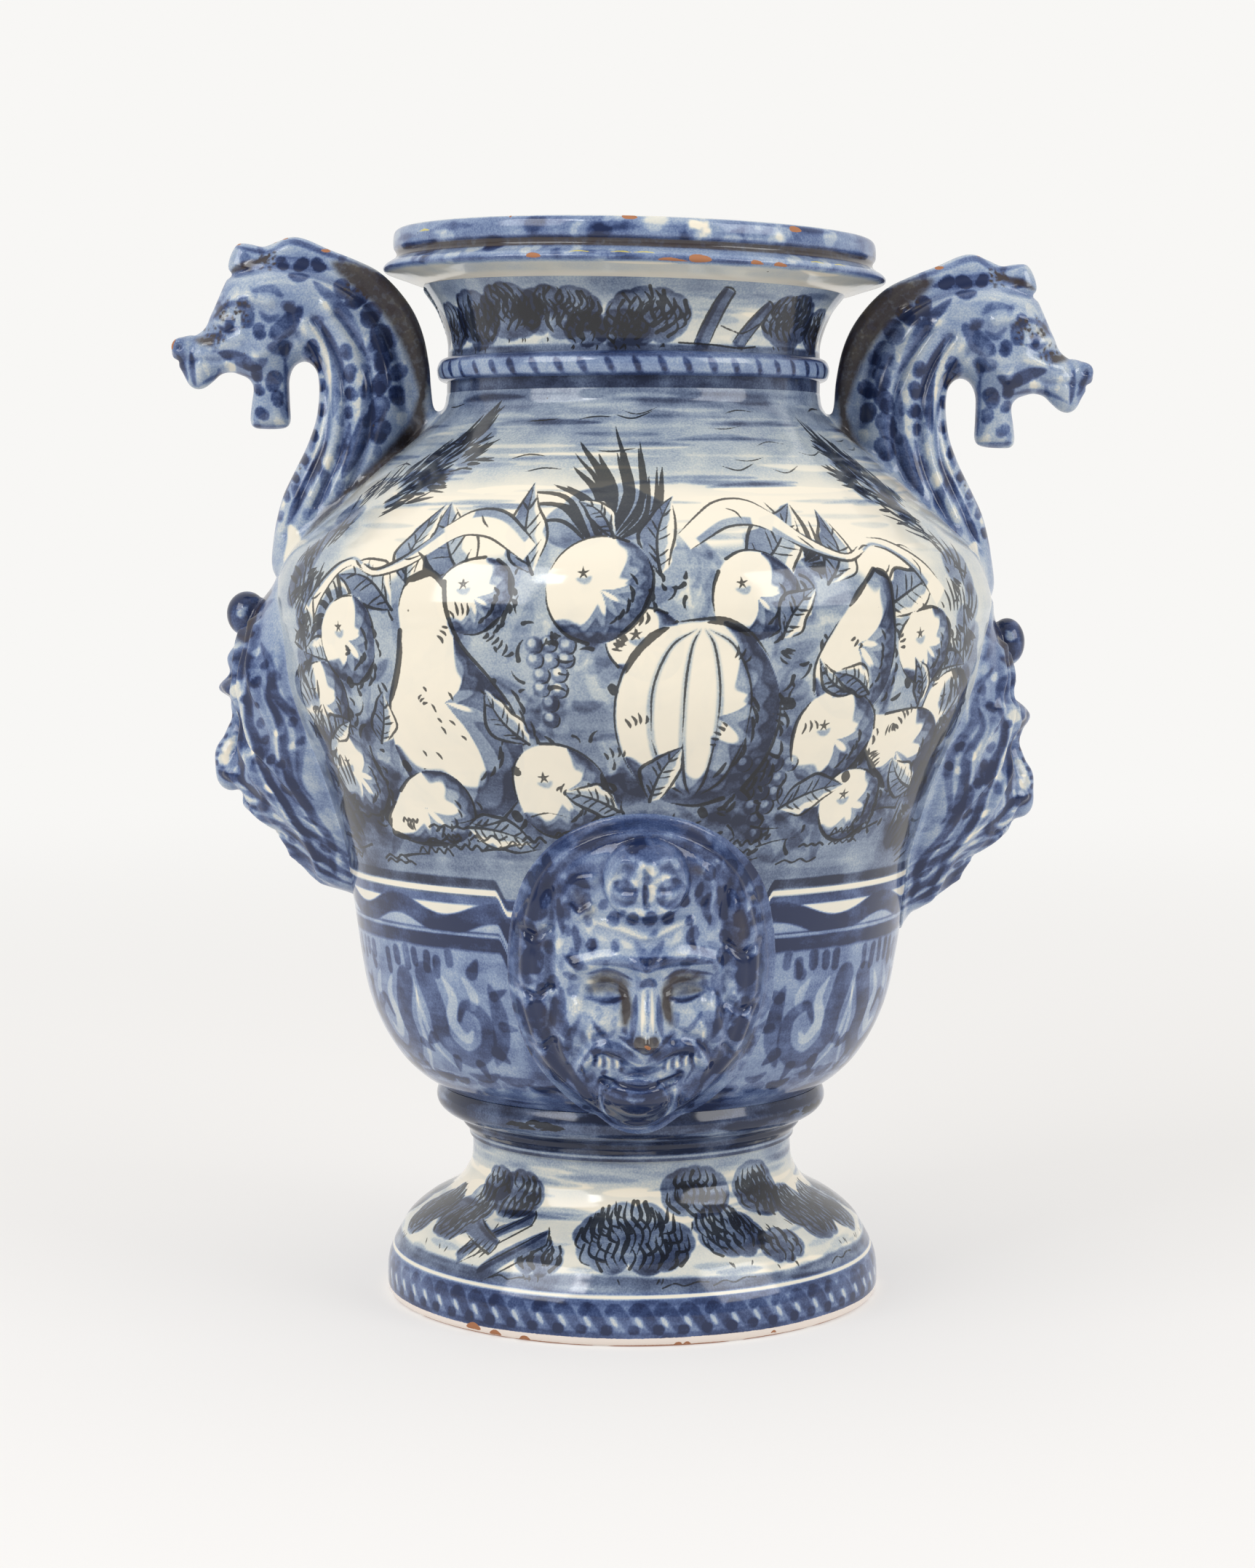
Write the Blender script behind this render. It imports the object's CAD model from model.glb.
"""Looks of the tin-glazed amphora: the finely modelled clay, the glaze and the hand painting.

The frame is in metres. Clay and paint are worked out in millimetres, as a potter measures them, and
MM turns them into metres when a mesh is made. Angles round the vessel are in degrees: 0 faces the
viewer (-Y) and they grow towards the viewer's right (+X).
"""

import math

import bpy
import numpy as np
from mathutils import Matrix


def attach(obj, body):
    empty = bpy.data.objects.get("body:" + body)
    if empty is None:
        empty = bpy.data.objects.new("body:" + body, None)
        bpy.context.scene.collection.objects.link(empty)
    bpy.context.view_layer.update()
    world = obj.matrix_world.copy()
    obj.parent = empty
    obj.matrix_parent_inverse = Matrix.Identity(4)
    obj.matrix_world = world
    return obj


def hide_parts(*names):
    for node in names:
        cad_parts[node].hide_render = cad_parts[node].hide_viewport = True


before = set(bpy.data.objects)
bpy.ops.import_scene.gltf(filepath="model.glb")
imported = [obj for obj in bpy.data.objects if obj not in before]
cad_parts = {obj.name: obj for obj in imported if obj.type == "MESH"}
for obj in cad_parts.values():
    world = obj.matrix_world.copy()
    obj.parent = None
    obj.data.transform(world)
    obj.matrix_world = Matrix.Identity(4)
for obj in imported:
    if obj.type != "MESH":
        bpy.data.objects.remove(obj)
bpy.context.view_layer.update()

MM = 0.001

# The photograph's camera, fitted to the ellipses of rim and foot.
CAMERA_PLACE = (-0.0021, -1.30, 0.329)
CAMERA_NODS = 0.0889
CAMERA_LENS = 71.38
SENSOR_WIDTH = 36.0

# Levels and radii of the thrown sections, as the frame has them.
WAIST_Z, BOWL_Z, BAND_Z, WIDEST_Z, COLLAR_Z, RIM_Z, TOP_Z = 66.5, 88.5, 178.0, 282.5, 375.5, 417.5, 440.0
FOOT_RADIUS, FOOT_NECK_RADIUS, WAIST_RADIUS, BOWL_BASE_RADIUS = 103.5, 67.0, 81.7, 80.1
BAND_RADIUS, BELLY_RADIUS, COLLAR_RADIUS, NECK_TOP_RADIUS = 117.2, 149.0, 77.2, 87.0
RIM_RADIUS = 99.4
WALL, FOOT_WALL, RIM_WALL, FLOOR_THICKNESS = 7.8, 10.0, 8.0, 10.0
WAIST_COVE = 0.30
BEAD_Z, BEAD_HEIGHT, BEAD_DEPTH = 385.0, 10.0, 3.9
FLOOR_FILLET = 5.0
# The rim's top stays this far below its named level, to leave room for the wheel's unevenness.
RIM_TOP_ROOM = 0.08
RIM_LEAN = 0.024

# Outlines as shares of a section's width and height, from its narrow radius and its lower level.
FOOT_SHAPE = (
    (0.937, 0.0), (0.985, 0.02), (1.0, 0.07), (0.995, 0.18), (0.953, 0.27), (0.849, 0.38), (0.740, 0.47),
    (0.534, 0.56), (0.205, 0.667), (0.047, 0.788), (0.005, 0.88), (0.0, 1.0),
)
WAIST_SHAPE = (
    (-0.30, 0.0), (-0.24, 0.12), (-0.02, 0.25), (0.05, 0.36), (0.62, 0.48), (0.93, 0.62), (1.0, 0.78),
    (0.86, 1.0),
)
BOWL_SHAPE = (
    (0.0, 0.0), (0.224, 0.061), (0.437, 0.151), (0.636, 0.285), (0.779, 0.441), (0.863, 0.62),
    (0.927, 0.80), (1.0, 1.0),
)
BELLY_LOWER_SHAPE = (
    (0.0, 0.0), (0.047, 0.077), (0.151, 0.172), (0.352, 0.335), (0.566, 0.488), (0.774, 0.632),
    (0.931, 0.785), (1.0, 1.0),
)
SHOULDER_SHAPE = (
    (1.0, 0.0), (0.990, 0.127), (0.916, 0.285), (0.756, 0.413), (0.568, 0.543), (0.366, 0.683),
    (0.164, 0.812), (0.028, 0.925), (0.0, 1.0),
)
NECK_SHAPE = (
    (0.0, 0.0), (0.0, 0.22), (-0.03, 0.43), (0.02, 0.53), (0.14, 0.63), (0.30, 0.73), (0.52, 0.84),
    (1.0, 1.0),
)
BEAD_SHAPE = (
    (-0.2, 0.0), (0.35, 0.03), (0.80, 0.14), (1.0, 0.40), (0.98, 0.62), (0.70, 0.86), (0.25, 0.97),
    (-0.2, 1.0),
)
# The rim's outer side: under the flange, round its lip, up the hollow and over the top.
RIM_SHAPE = (
    (87.0, 417.5), (91.0, 418.6), (96.0, 420.3), (101.0, 421.9), (103.2, 422.9), (103.7, 424.2),
    (102.6, 425.7), (100.6, 427.0), (98.9, 428.2), (98.1, 429.7), (98.6, 431.2), (99.4, 432.6),
    (99.5, 435.6), (99.0, 438.4), (97.6, 439.8), (95.6, 440.1), (93.6, 439.6),
)

# How fine the clay is: the side that faces the viewer is finer, for the brush lines on it.
FINE_STEP = 0.5
COARSE_STEP = 1.5
FINE_SIDE = 84.0
SCULPT_STEP = 0.8
INSIDE_STEP = 3.0
SHARP_DEGREES = 50
# How far a modelled piece reaches into the wall, and where its fillet ends on the wall.
ROOT_DEPTH, ROOT_GAP = 2.2, 0.7

# The axis drifts sideways by a little with height, as a hand-thrown vessel's does.
AXIS_DRIFT = (
    (0, 0.0), (60, -0.2), (95, -1.2), (140, -1.7), (175, -1.5), (220, -0.6), (280, 0.0), (370, 0.2),
    (400, 0.7), (445, 0.9),
)

WASHES = ("blue", "brown", "grey")
MARKS = ("line", "chip", "bare", "yellow")
UNPAINTED = -4.0


def smooth(points, count):
    """A Catmull-Rom curve through the points, sampled evenly between its ends."""
    points = np.array(points, float)
    ends = np.vstack([2 * points[0] - points[1], points, 2 * points[-1] - points[-2]])
    spans = len(points) - 1
    at = np.linspace(0, spans, count)
    span = np.minimum(at.astype(int), spans - 1)
    t = (at - span)[:, None]
    before, start, end, after = (ends[span + i] for i in range(4))
    return 0.5 * (
        2 * start
        + (end - before) * t
        + (2 * before - 5 * start + 4 * end - after) * t**2
        + (3 * start - before - 3 * end + after) * t**3
    )


def evenly(line, step):
    """The line's points moved to lie one step apart along it."""
    lengths = np.concatenate([[0], np.cumsum(np.linalg.norm(np.diff(line, axis=0), axis=1))])
    at = np.linspace(0, lengths[-1], max(2, int(round(lengths[-1] / step)) + 1))
    return np.stack([np.interp(at, lengths, line[:, i]) for i in range(line.shape[1])], axis=1)


def section(shape, narrow, wide, low, high):
    """A turned section's outline in millimetres, from its shape in shares."""
    shares = smooth(shape, 160)
    return np.stack([narrow + (wide - narrow) * shares[:, 0], low + (high - low) * shares[:, 1]], axis=1)


def foot_outline():
    """The foot's outer side."""
    return section(FOOT_SHAPE, FOOT_NECK_RADIUS, FOOT_RADIUS, 0.0, WAIST_Z)


def waist_outline():
    """The waist ring's outer side."""
    narrow = FOOT_NECK_RADIUS + WAIST_COVE * (WAIST_RADIUS - FOOT_NECK_RADIUS)
    return section(WAIST_SHAPE, narrow, WAIST_RADIUS, WAIST_Z, BOWL_Z)


def bowl_outline():
    """The bowl's outer side."""
    return section(BOWL_SHAPE, BOWL_BASE_RADIUS, BAND_RADIUS, BOWL_Z, BAND_Z)


def belly_outline():
    """The belly's outer side, with its shoulder."""
    lower = section(BELLY_LOWER_SHAPE, BAND_RADIUS, BELLY_RADIUS, BAND_Z, WIDEST_Z)
    upper = section(SHOULDER_SHAPE, COLLAR_RADIUS, BELLY_RADIUS, WIDEST_Z, COLLAR_Z)
    return np.vstack([lower[:-1], upper])


def neck_outline():
    """The neck's outer side."""
    return section(NECK_SHAPE, COLLAR_RADIUS, NECK_TOP_RADIUS, COLLAR_Z, RIM_Z)


def bead_outline():
    """The cordon's outer side."""
    return section(BEAD_SHAPE, COLLAR_RADIUS, COLLAR_RADIUS + BEAD_DEPTH, BEAD_Z - BEAD_HEIGHT / 2,
                   BEAD_Z + BEAD_HEIGHT / 2)


WHOLE_OUTLINE = np.vstack(
    [foot_outline()[:-1], waist_outline()[:-1], bowl_outline()[:-1], belly_outline(), neck_outline()[1:]]
)


def radius_at(height):
    """Outer radius of the vessel at a height, without the cordon and the flange."""
    return np.interp(height, WHOLE_OUTLINE[:, 1], WHOLE_OUTLINE[:, 0])


def inside_of(outline, wall):
    """The outline moved inwards by the wall's thickness, square to its own slope."""
    slope = np.gradient(outline, axis=0)
    slope /= np.linalg.norm(slope, axis=1)[:, None]
    return outline + wall * np.stack([-slope[:, 1], slope[:, 0]], axis=1)


def lean(x, z):
    """How much the settled rim rises at x: more and more from the collar up to the rim."""
    share = np.clip((z - COLLAR_Z) / (RIM_Z - COLLAR_Z), 0, 1)
    return -RIM_LEAN * x * share**2


def wander(angle, height, seed):
    """Slow swells round and up a thrown wall, between about -1 and 1."""
    random = np.random.default_rng(seed)
    total = np.zeros(np.broadcast(angle, height).shape)
    for turns in (1, 2, 3, 5):
        for rise in (0.012, 0.03, 0.065):
            phase = random.uniform(0, 2 * math.pi)
            climb = rise * height * random.choice((-1, 1))
            total = total + np.sin(turns * angle + climb + phase) / turns**0.5
    return total / 4.0


class Canvas:
    """Paint on a surface. Each wash says how much colour lies at a point, and each mark how far inside
    its edge the point is, in millimetres. Points are kept sorted by height to find them quickly."""

    def __init__(self, points, place, unit):
        self.order = np.argsort(points[:, 2], kind="stable")
        self.points = points[self.order].astype(np.float32)
        self.level = self.points[:, 2].copy()
        self.place = place
        self.unit = unit
        self.wash = {name: np.zeros(len(points), np.float32) for name in WASHES}
        self.mark = {name: np.full(len(points), UNPAINTED, np.float32) for name in MARKS}

    def at(self, across, up, path):
        """A path in millimetres round a spot, as places on this surface."""
        path = np.asarray(path, float)
        return np.stack([across + path[:, 0] / self.unit(up), up + path[:, 1]], axis=1)

    def lay(self, tone, colour="blue"):
        """A wash over the whole surface: one tone, or a tone for each point."""
        self.wash[colour] += np.asarray(tone, np.float32)

    def wipe(self, share):
        """Takes a share of the blue off again."""
        self.wash["blue"] *= (1 - share).astype(np.float32)

    def waver(self, seed, turns=1, height=0.0):
        """A slow swing round the vessel at one height, between about -1 and 1."""
        return wander(np.radians(self.angle) * turns, self.level * 0 + height, seed)

    def near(self, path, reach):
        """The points in the box round a path, with some room on each side."""
        low, high = path.min(0) - reach, path.max(0) + reach
        first, last = np.searchsorted(self.level, (low[2], high[2]))
        part = self.points[first:last, :2]
        return first + np.nonzero(((part > low[:2]) & (part < high[:2])).all(1))[0]

    def cover(self, path, half, margin):
        """The points near a path and how far inside a stroke along it each lies."""
        path = self.place(np.asarray(path, float)).astype(np.float32)
        half = np.broadcast_to(np.asarray(half, np.float32), (len(path),))
        found = self.near(path, half.max() + margin)
        spot = self.points[found]
        best = np.full(len(found), UNPAINTED, np.float32)
        if len(found):
            for a, b, wide, wider in zip(path, path[1:], half, half[1:]):
                along = b - a
                t = np.clip((spot - a) @ along / max(float(along @ along), 1e-9), 0, 1)
                gap = np.linalg.norm(spot - a - t[:, None] * along, axis=1)
                best = np.maximum(best, wide + (wider - wide) * t - gap)
        return found, best

    def brush(self, path, half, tone, soft, taper="both", colour="blue"):
        """One stroke of a loaded brush through the path's points. A tone below zero wipes colour off."""
        path = smooth(path, 4 * len(path) + 4)
        found, cover = self.cover(path, half * tapering(len(path), taper), soft)
        share = ease(cover / soft + 0.5)
        self.wash[colour][found] += tone * share

    def ink(self, path, half, taper="both", mark="line"):
        """One drawn stroke with a sharp edge: black, or a chip or another mark."""
        path = smooth(path, 3 * len(path) + 3)
        found, cover = self.cover(path, half * tapering(len(path), taper), 1.5)
        self.mark[mark][found] = np.maximum(self.mark[mark][found], cover)

    def blobs(self, across, up, lobes, tone, soft, colour="blue"):
        """One patch of colour made of round lobes, each with its place and radius in millimetres."""
        lobes = np.asarray(lobes, float)
        centres = self.place(self.at(across, up, lobes[:, :2])).astype(np.float32)
        found = self.near(centres, lobes[:, 2].max() + soft)
        best = np.full(len(found), UNPAINTED, np.float32)
        for centre, radius in zip(centres, lobes[:, 2]):
            best = np.maximum(best, radius - np.linalg.norm(self.points[found] - centre, axis=1))
        self.wash[colour][found] += tone * ease(best / soft + 0.5)

    def inside(self, outline, margin):
        """The points near a closed outline and how far inside it each lies, seen square to its middle."""
        outline = np.asarray(outline, float)
        ring = self.place(outline)
        middle = outline.mean(0)
        nudge = self.place(np.array([middle, middle + (0.05, 0), middle + (0, 0.05)]))
        across, up = nudge[1] - nudge[0], nudge[2] - nudge[0]
        across, up = across / np.linalg.norm(across), up / np.linalg.norm(up)
        found = self.near(ring.astype(np.float32), margin)
        spot = self.points[found] - nudge[0]
        ring = ring - nudge[0]
        flat = np.stack([ring @ across, ring @ up], axis=1)
        return found, -within(spot @ across, spot @ up, flat), spot @ across, spot @ up

    def pool(self, outline, tone, soft, edge=0.0):
        """A patch of colour within an outline, a little darker along its edge where it dried."""
        found, depth, _, _ = self.inside(outline, soft + 1)
        share = ease(depth / soft + 0.5)
        self.wash["blue"][found] += share * (tone + edge * np.exp(-np.maximum(depth, 0) / 1.2))

    def spare(self, outline, kept, soft=1.0):
        """Leaves the ground bare within an outline, washes and lines both."""
        found, depth, _, _ = self.inside(outline, soft + 1)
        share = ease(depth / soft + 0.5)
        self.wash["blue"][found] *= 1 - (1 - kept) * share
        self.mark["line"][found] = np.where(depth > 0, UNPAINTED, self.mark["line"][found])

    def stored(self, values):
        """The values in the order of the mesh's own points."""
        result = np.empty(len(values), np.float32)
        result[self.order] = values
        return result


def ease(share):
    """A share from 0 to 1 with a soft start and a soft end."""
    share = np.clip(share, 0, 1)
    return share * share * (3 - 2 * share)


def tapering(count, taper):
    """A stroke's width along its length, as shares of its widest."""
    t = np.linspace(0, 1, count)
    if taper == "both":
        return 0.12 + 0.88 * np.sin(math.pi * t) ** 0.7
    if taper == "end":
        return 0.15 + 0.85 * (1 - t) ** 0.7
    if taper == "start":
        return 0.15 + 0.85 * t**0.7
    return np.ones(count)


def store(mesh, canvas, hollow):
    """Writes a surface's paint onto its mesh."""
    layers = {name: canvas.stored(values) for name, values in {**canvas.wash, **canvas.mark}.items()}
    layers["hollow"] = hollow
    for name, values in layers.items():
        attribute = mesh.attributes.new(name, "FLOAT", "POINT")
        attribute.data.foreach_set("value", np.ascontiguousarray(values, np.float32))


def make_mesh(name, points, faces):
    """A mesh in metres from points in millimetres and four-sided faces."""
    mesh = bpy.data.meshes.new(name)
    mesh.vertices.add(len(points))
    mesh.vertices.foreach_set("co", (np.asarray(points, np.float32) * MM).ravel())
    mesh.loops.add(faces.size)
    mesh.loops.foreach_set("vertex_index", faces.astype(np.int32).ravel())
    mesh.polygons.add(len(faces))
    mesh.polygons.foreach_set("loop_start", np.arange(len(faces), dtype=np.int32) * 4)
    mesh.update(calc_edges=True)
    mesh.validate()
    mesh.shade_smooth()
    return mesh


# The record's two slots, the glaze of each (made in build) and its roughness.
PAINTED, RELIEF = "painted_glaze", "relief_glaze"
GLAZE_ROUGHNESS = {PAINTED: 0.10, RELIEF: 0.12}
GLAZES = {}


def dress(name, mesh, slot, nodes):
    """Puts a finished piece on the frame: it rides on the one body and stands for its CAD nodes."""
    mesh.materials.append(GLAZES[slot])
    thing = bpy.data.objects.new(name, mesh)
    bpy.context.scene.collection.objects.link(thing)
    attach(thing, "root")
    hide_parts(*nodes)


def turning_angles(radius):
    """Angles in radians round a piece, close together on the viewer's side and wider behind."""
    fine = math.radians(FINE_SIDE)
    near = np.linspace(-fine, fine, int(2 * fine * radius / FINE_STEP), endpoint=False)
    far = np.linspace(fine, 2 * math.pi - fine, int((2 * math.pi - 2 * fine) * radius / COARSE_STEP),
                      endpoint=False)
    return np.concatenate([near, far])


def turned_piece(node, outer, inner, slot, paint, seed, swell=0.22):
    """A thrown piece: its outer side from bottom to top, closed by its inner side, with its paint."""
    outer = evenly(outer, FINE_STEP)
    inner = evenly(inner[::-1], INSIDE_STEP)
    profile = np.vstack([outer, inner])
    radii, heights = profile[:, 0][:, None], profile[:, 1][:, None]
    turn = turning_angles(outer[:, 0].max())[None, :]
    rows, columns = len(profile), turn.shape[1]
    level = np.broadcast_to(heights, (rows, columns))
    ideal = np.stack([radii * np.sin(turn), -radii * np.cos(turn), level], axis=2)
    moved = radii + swell * wander(turn, heights, seed)
    points = np.stack([moved * np.sin(turn), -moved * np.cos(turn), level], axis=2)
    points[..., 2] += lean(points[..., 0], points[..., 2])
    drift = np.array(AXIS_DRIFT, float)
    points[..., 0] += np.interp(level, drift[:, 0], drift[:, 1])
    index = np.arange(rows * columns).reshape(rows, columns)
    across = np.roll(index, -1, axis=1)
    faces = np.stack([index, across, np.roll(across, -1, axis=0), np.roll(index, -1, axis=0)],
                     axis=2).reshape(-1, 4)

    def place(path):
        """Points on the wall from angles in degrees and heights."""
        angle = np.radians(path[:, 0])
        radius = np.interp(path[:, 1], outer[:, 1], outer[:, 0])
        return np.stack([radius * np.sin(angle), -radius * np.cos(angle), path[:, 1]], axis=1)

    canvas = Canvas(ideal.reshape(-1, 3), place, lambda up: math.radians(1) * float(radius_at(up)))
    canvas.angle = np.degrees(np.arctan2(canvas.points[:, 0], -canvas.points[:, 1]))
    paint(canvas)
    inward = np.repeat(np.arange(rows) >= len(outer), columns)[canvas.order]
    for values in canvas.wash.values():
        values[inward] = 0
    for values in canvas.mark.values():
        values[inward] = UNPAINTED
    name = node + "_glazed"
    mesh = make_mesh(name, points.reshape(-1, 3), faces)
    store(mesh, canvas, np.zeros(rows * columns))
    mesh.set_sharp_from_angle(angle=math.radians(SHARP_DEGREES))
    dress(name, mesh, slot, [node])


def box_blur(field, cells):
    """The field averaged over a cube of cells, by running sums along each axis."""
    for axis in range(3):
        padded = np.concatenate(
            [np.repeat(field.take([0], axis), cells, axis), field,
             np.repeat(field.take([-1], axis), cells, axis)], axis
        )
        sums = np.cumsum(padded, axis=axis, dtype=np.float64)
        width = 2 * cells + 1
        sums = np.concatenate([np.zeros_like(sums.take([0], axis)), sums], axis)
        count = sums.shape[axis]
        field = (sums.take(range(width, count), axis) - sums.take(range(count - width), axis)) / width
        field = field.astype(np.float32)
    return field


def sampled(field, at):
    """The field's values at fractional grid places, linearly between the eight nearest."""
    at = np.clip(at, 0, np.array(field.shape) - 1.001)
    cell = at.astype(int)
    share = (at - cell).astype(np.float32)
    total = np.zeros(len(at), np.float32)
    for corner in np.ndindex(2, 2, 2):
        weight = np.prod(np.where(corner, share, 1 - share), axis=1)
        i, j, k = (cell + corner).T
        total += weight * field[i, j, k]
    return total


def skin(field):
    """Points in grid steps and four-sided faces along the field's zero level, one point in each cell
    that the surface crosses, pulled onto the surface."""
    cells = np.array(field.shape) - 1
    keys, spots, rings = [], [], []
    for axis in range(3):
        low = [slice(None)] * 3
        high = [slice(None)] * 3
        low[axis], high[axis] = slice(None, -1), slice(1, None)
        a, b = field[tuple(low)], field[tuple(high)]
        crossing = np.argwhere((a < 0) != (b < 0))
        near, far = a[tuple(crossing.T)], b[tuple(crossing.T)]
        spot = crossing.astype(np.float32)
        spot[:, axis] += near / (near - far)
        first, second = (axis + 1) % 3, (axis + 2) % 3
        ring = []
        for back, side in ((0, 0), (1, 0), (1, 1), (0, 1)):
            owner = crossing.copy()
            owner[:, first] -= back
            owner[:, second] -= side
            ring.append(owner)
        ring = np.stack(ring, axis=1)
        kept = ((ring >= 0) & (ring < cells)).all(axis=(1, 2))
        ring, spot, near = ring[kept], spot[kept], near[kept]
        key = (ring[..., 0] * cells[1] + ring[..., 1]) * cells[2] + ring[..., 2]
        rings.append(np.where((near < 0)[:, None], key[:, ::-1], key))
        keys.append(key.ravel())
        spots.append(np.repeat(spot, 4, axis=0))
    keys = np.concatenate(keys)
    spots = np.concatenate(spots)
    unique, owner = np.unique(keys, return_inverse=True)
    count = np.bincount(owner)
    points = np.stack([np.bincount(owner, spots[:, i]) / count for i in range(3)], axis=1)
    faces = np.searchsorted(unique, np.concatenate(rings))
    slopes = np.gradient(field)
    for _ in range(2):
        value = sampled(field, points)
        slope = np.stack([sampled(part, points) for part in slopes], axis=1)
        steep = np.maximum((slope**2).sum(1), 0.05)
        points = points - np.clip(value / steep, -0.5, 0.5)[:, None] * slope
    return points, faces[:, ::-1]


def blend(a, b, width):
    """Two forms joined with a soft fillet of about that width."""
    share = np.clip(0.5 + 0.5 * (b - a) / width, 0, 1)
    return b + (a - b) * share - width * share * (1 - share)


def carve(a, b, width):
    """The first form with the second taken out of it, its edge softened."""
    return -blend(-a, b, width)


def ball(x, y, z, centre, radii):
    """A rounded lump: distance is only true near its surface."""
    radii = np.array(radii, float)
    q = np.sqrt(((x - centre[0]) / radii[0]) ** 2 + ((y - centre[1]) / radii[1]) ** 2
                + ((z - centre[2]) / radii[2]) ** 2)
    return (q - 1) * radii.min()


def to_line(x, z, path):
    """Distance in the plane to a path."""
    best = np.full(np.broadcast(x, z).shape, 1e3, np.float32)
    for (ax, az), (bx, bz) in zip(path, path[1:]):
        length = max((bx - ax) ** 2 + (bz - az) ** 2, 1e-9)
        t = np.clip(((x - ax) * (bx - ax) + (z - az) * (bz - az)) / length, 0, 1)
        best = np.minimum(best, np.hypot(x - ax - t * (bx - ax), z - az - t * (bz - az)))
    return best


def within(x, z, outline):
    """Signed distance in the plane to a closed outline, below zero inside it."""
    outline = np.asarray(outline, float)
    inside = np.zeros(np.broadcast(x, z).shape, bool)
    for (ax, az), (bx, bz) in zip(outline, np.roll(outline, -1, axis=0)):
        if az != bz:
            inside ^= ((az > z) != (bz > z)) & (x < (bx - ax) * (z - az) / (bz - az) + ax)
    gap = to_line(x, z, np.vstack([outline, outline[:1]]))
    return np.where(inside, -gap, gap)


def swelling(gap, width):
    """A rounded ridge's or groove's section: one at its middle and fading out."""
    return np.exp(-((gap / width) ** 2))


def grid(low, high):
    """The cells to sculpt in between two corners: levels along each axis, and each cell's coordinates."""
    axes = [np.arange(a, b, SCULPT_STEP) for a, b in zip(low, high)]
    return axes, [part.astype(np.float32) for part in np.meshgrid(*axes, indexing="ij")]


def luted(form, wall, fillet, limit):
    """A modelled form run into the vessel's wall with a fillet, cut just inside the wall and at a limit."""
    joined = np.maximum(blend(form, wall + ROOT_GAP, fillet), -(wall + ROOT_DEPTH))
    return np.maximum(joined, limit)


def sculpted_piece(name, form, low, to_world, flat, nodes, paint):
    """A modelled piece from its field: meshed, painted in its own flat plane and placed."""
    grid_points, faces = skin(form)
    hollow = -sampled(box_blur(form, 3), grid_points)
    local = low + grid_points * SCULPT_STEP

    def place(path):
        """Points on the flat drawing from a path in it."""
        return np.stack([path[:, 0], np.zeros(len(path)), path[:, 1]], axis=1)

    canvas = Canvas(flat(local), place, lambda up: 1.0)
    paint(canvas)
    mesh = make_mesh(name, to_world(local), faces)
    store(mesh, canvas, hollow)
    dress(name, mesh, RELIEF, nodes)


# Dragons. Outlines in the handle's plane: distance from the axis and height, for the mean of the pair.
HANDLE_RISE = {"left": 3.5, "right": -3.5}
DRAGON_LOW, DRAGON_HIGH = np.array([74.0, -25.0, 288.0]), np.array([196.0, 25.0, 441.0])
# The right head hangs lower, from behind its eye to its snout.
NOD_DEPTH, NOD_START, NOD_REACH = 3.2, 138, 50
# How soon the body rounds off from its outline, and the crest and the beard with half their thickness.
BODY_ROUNDING, CREST_ROUNDING, BEARD_ROUNDING = 15.0, 6, 6.5
CREST_HALF, BEARD_HALF = 5.2, 7.5
THROAT = (
    (118, 296), (140, 296), (149.5, 299), (149.5, 312), (146, 328), (141, 339), (135.5, 350),
    (131.5, 361), (130, 372), (130.6, 380), (133, 384.2), (136.5, 385.4), (140.5, 383.5), (145, 379.5),
    (150, 378),
)
JAW = (
    (156, 378), (161, 379.4), (166, 381), (170.5, 380.2), (174, 377.2), (177.5, 374.6), (181, 373.7),
    (184, 376.0), (186.6, 381), (189, 385),
)
NOSE = (
    (190.9, 388.5), (190.0, 392.5), (187.0, 395.2), (183.5, 396.4), (179.5, 397.2), (176.5, 400),
    (174, 405), (171.5, 411), (168.5, 417.5), (165, 422),
)
BACK = (
    (159, 425.0), (151, 427.4), (143, 427.2), (135, 425.6), (127, 423.6), (119, 420.4), (111, 415.2),
    (104, 408.2), (98.5, 400.6), (95, 392.6), (92.6, 384), (91.5, 374), (92, 362), (97, 348), (106, 330),
)
CREST = (
    (80.0, 358), (82.6, 366), (83.6, 375), (84.3, 384), (86.6, 396), (90.6, 406), (97.0, 415.0),
    (105, 422.5), (114.4, 427.2), (125.6, 431.6), (134.7, 435.6), (141, 436.6), (147, 434.6),
    (152.5, 432.6), (157.5, 433.6), (162.6, 433.8), (165.6, 430.2), (167.2, 424), (165, 418), (157, 419),
    (147, 421), (135, 419), (122, 413.5), (110, 405), (102, 393), (98.5, 380), (97, 366), (96, 354),
)
BEARD = (
    (142.3, 386), (142.4, 376), (142.2, 368), (142.0, 361.4), (143.4, 358.6), (147, 357.7),
    (153.5, 357.7), (157.2, 358.4), (158.6, 361.2), (158.0, 368), (157.2, 374), (157.8, 381),
    (158.5, 388),
)


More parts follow.
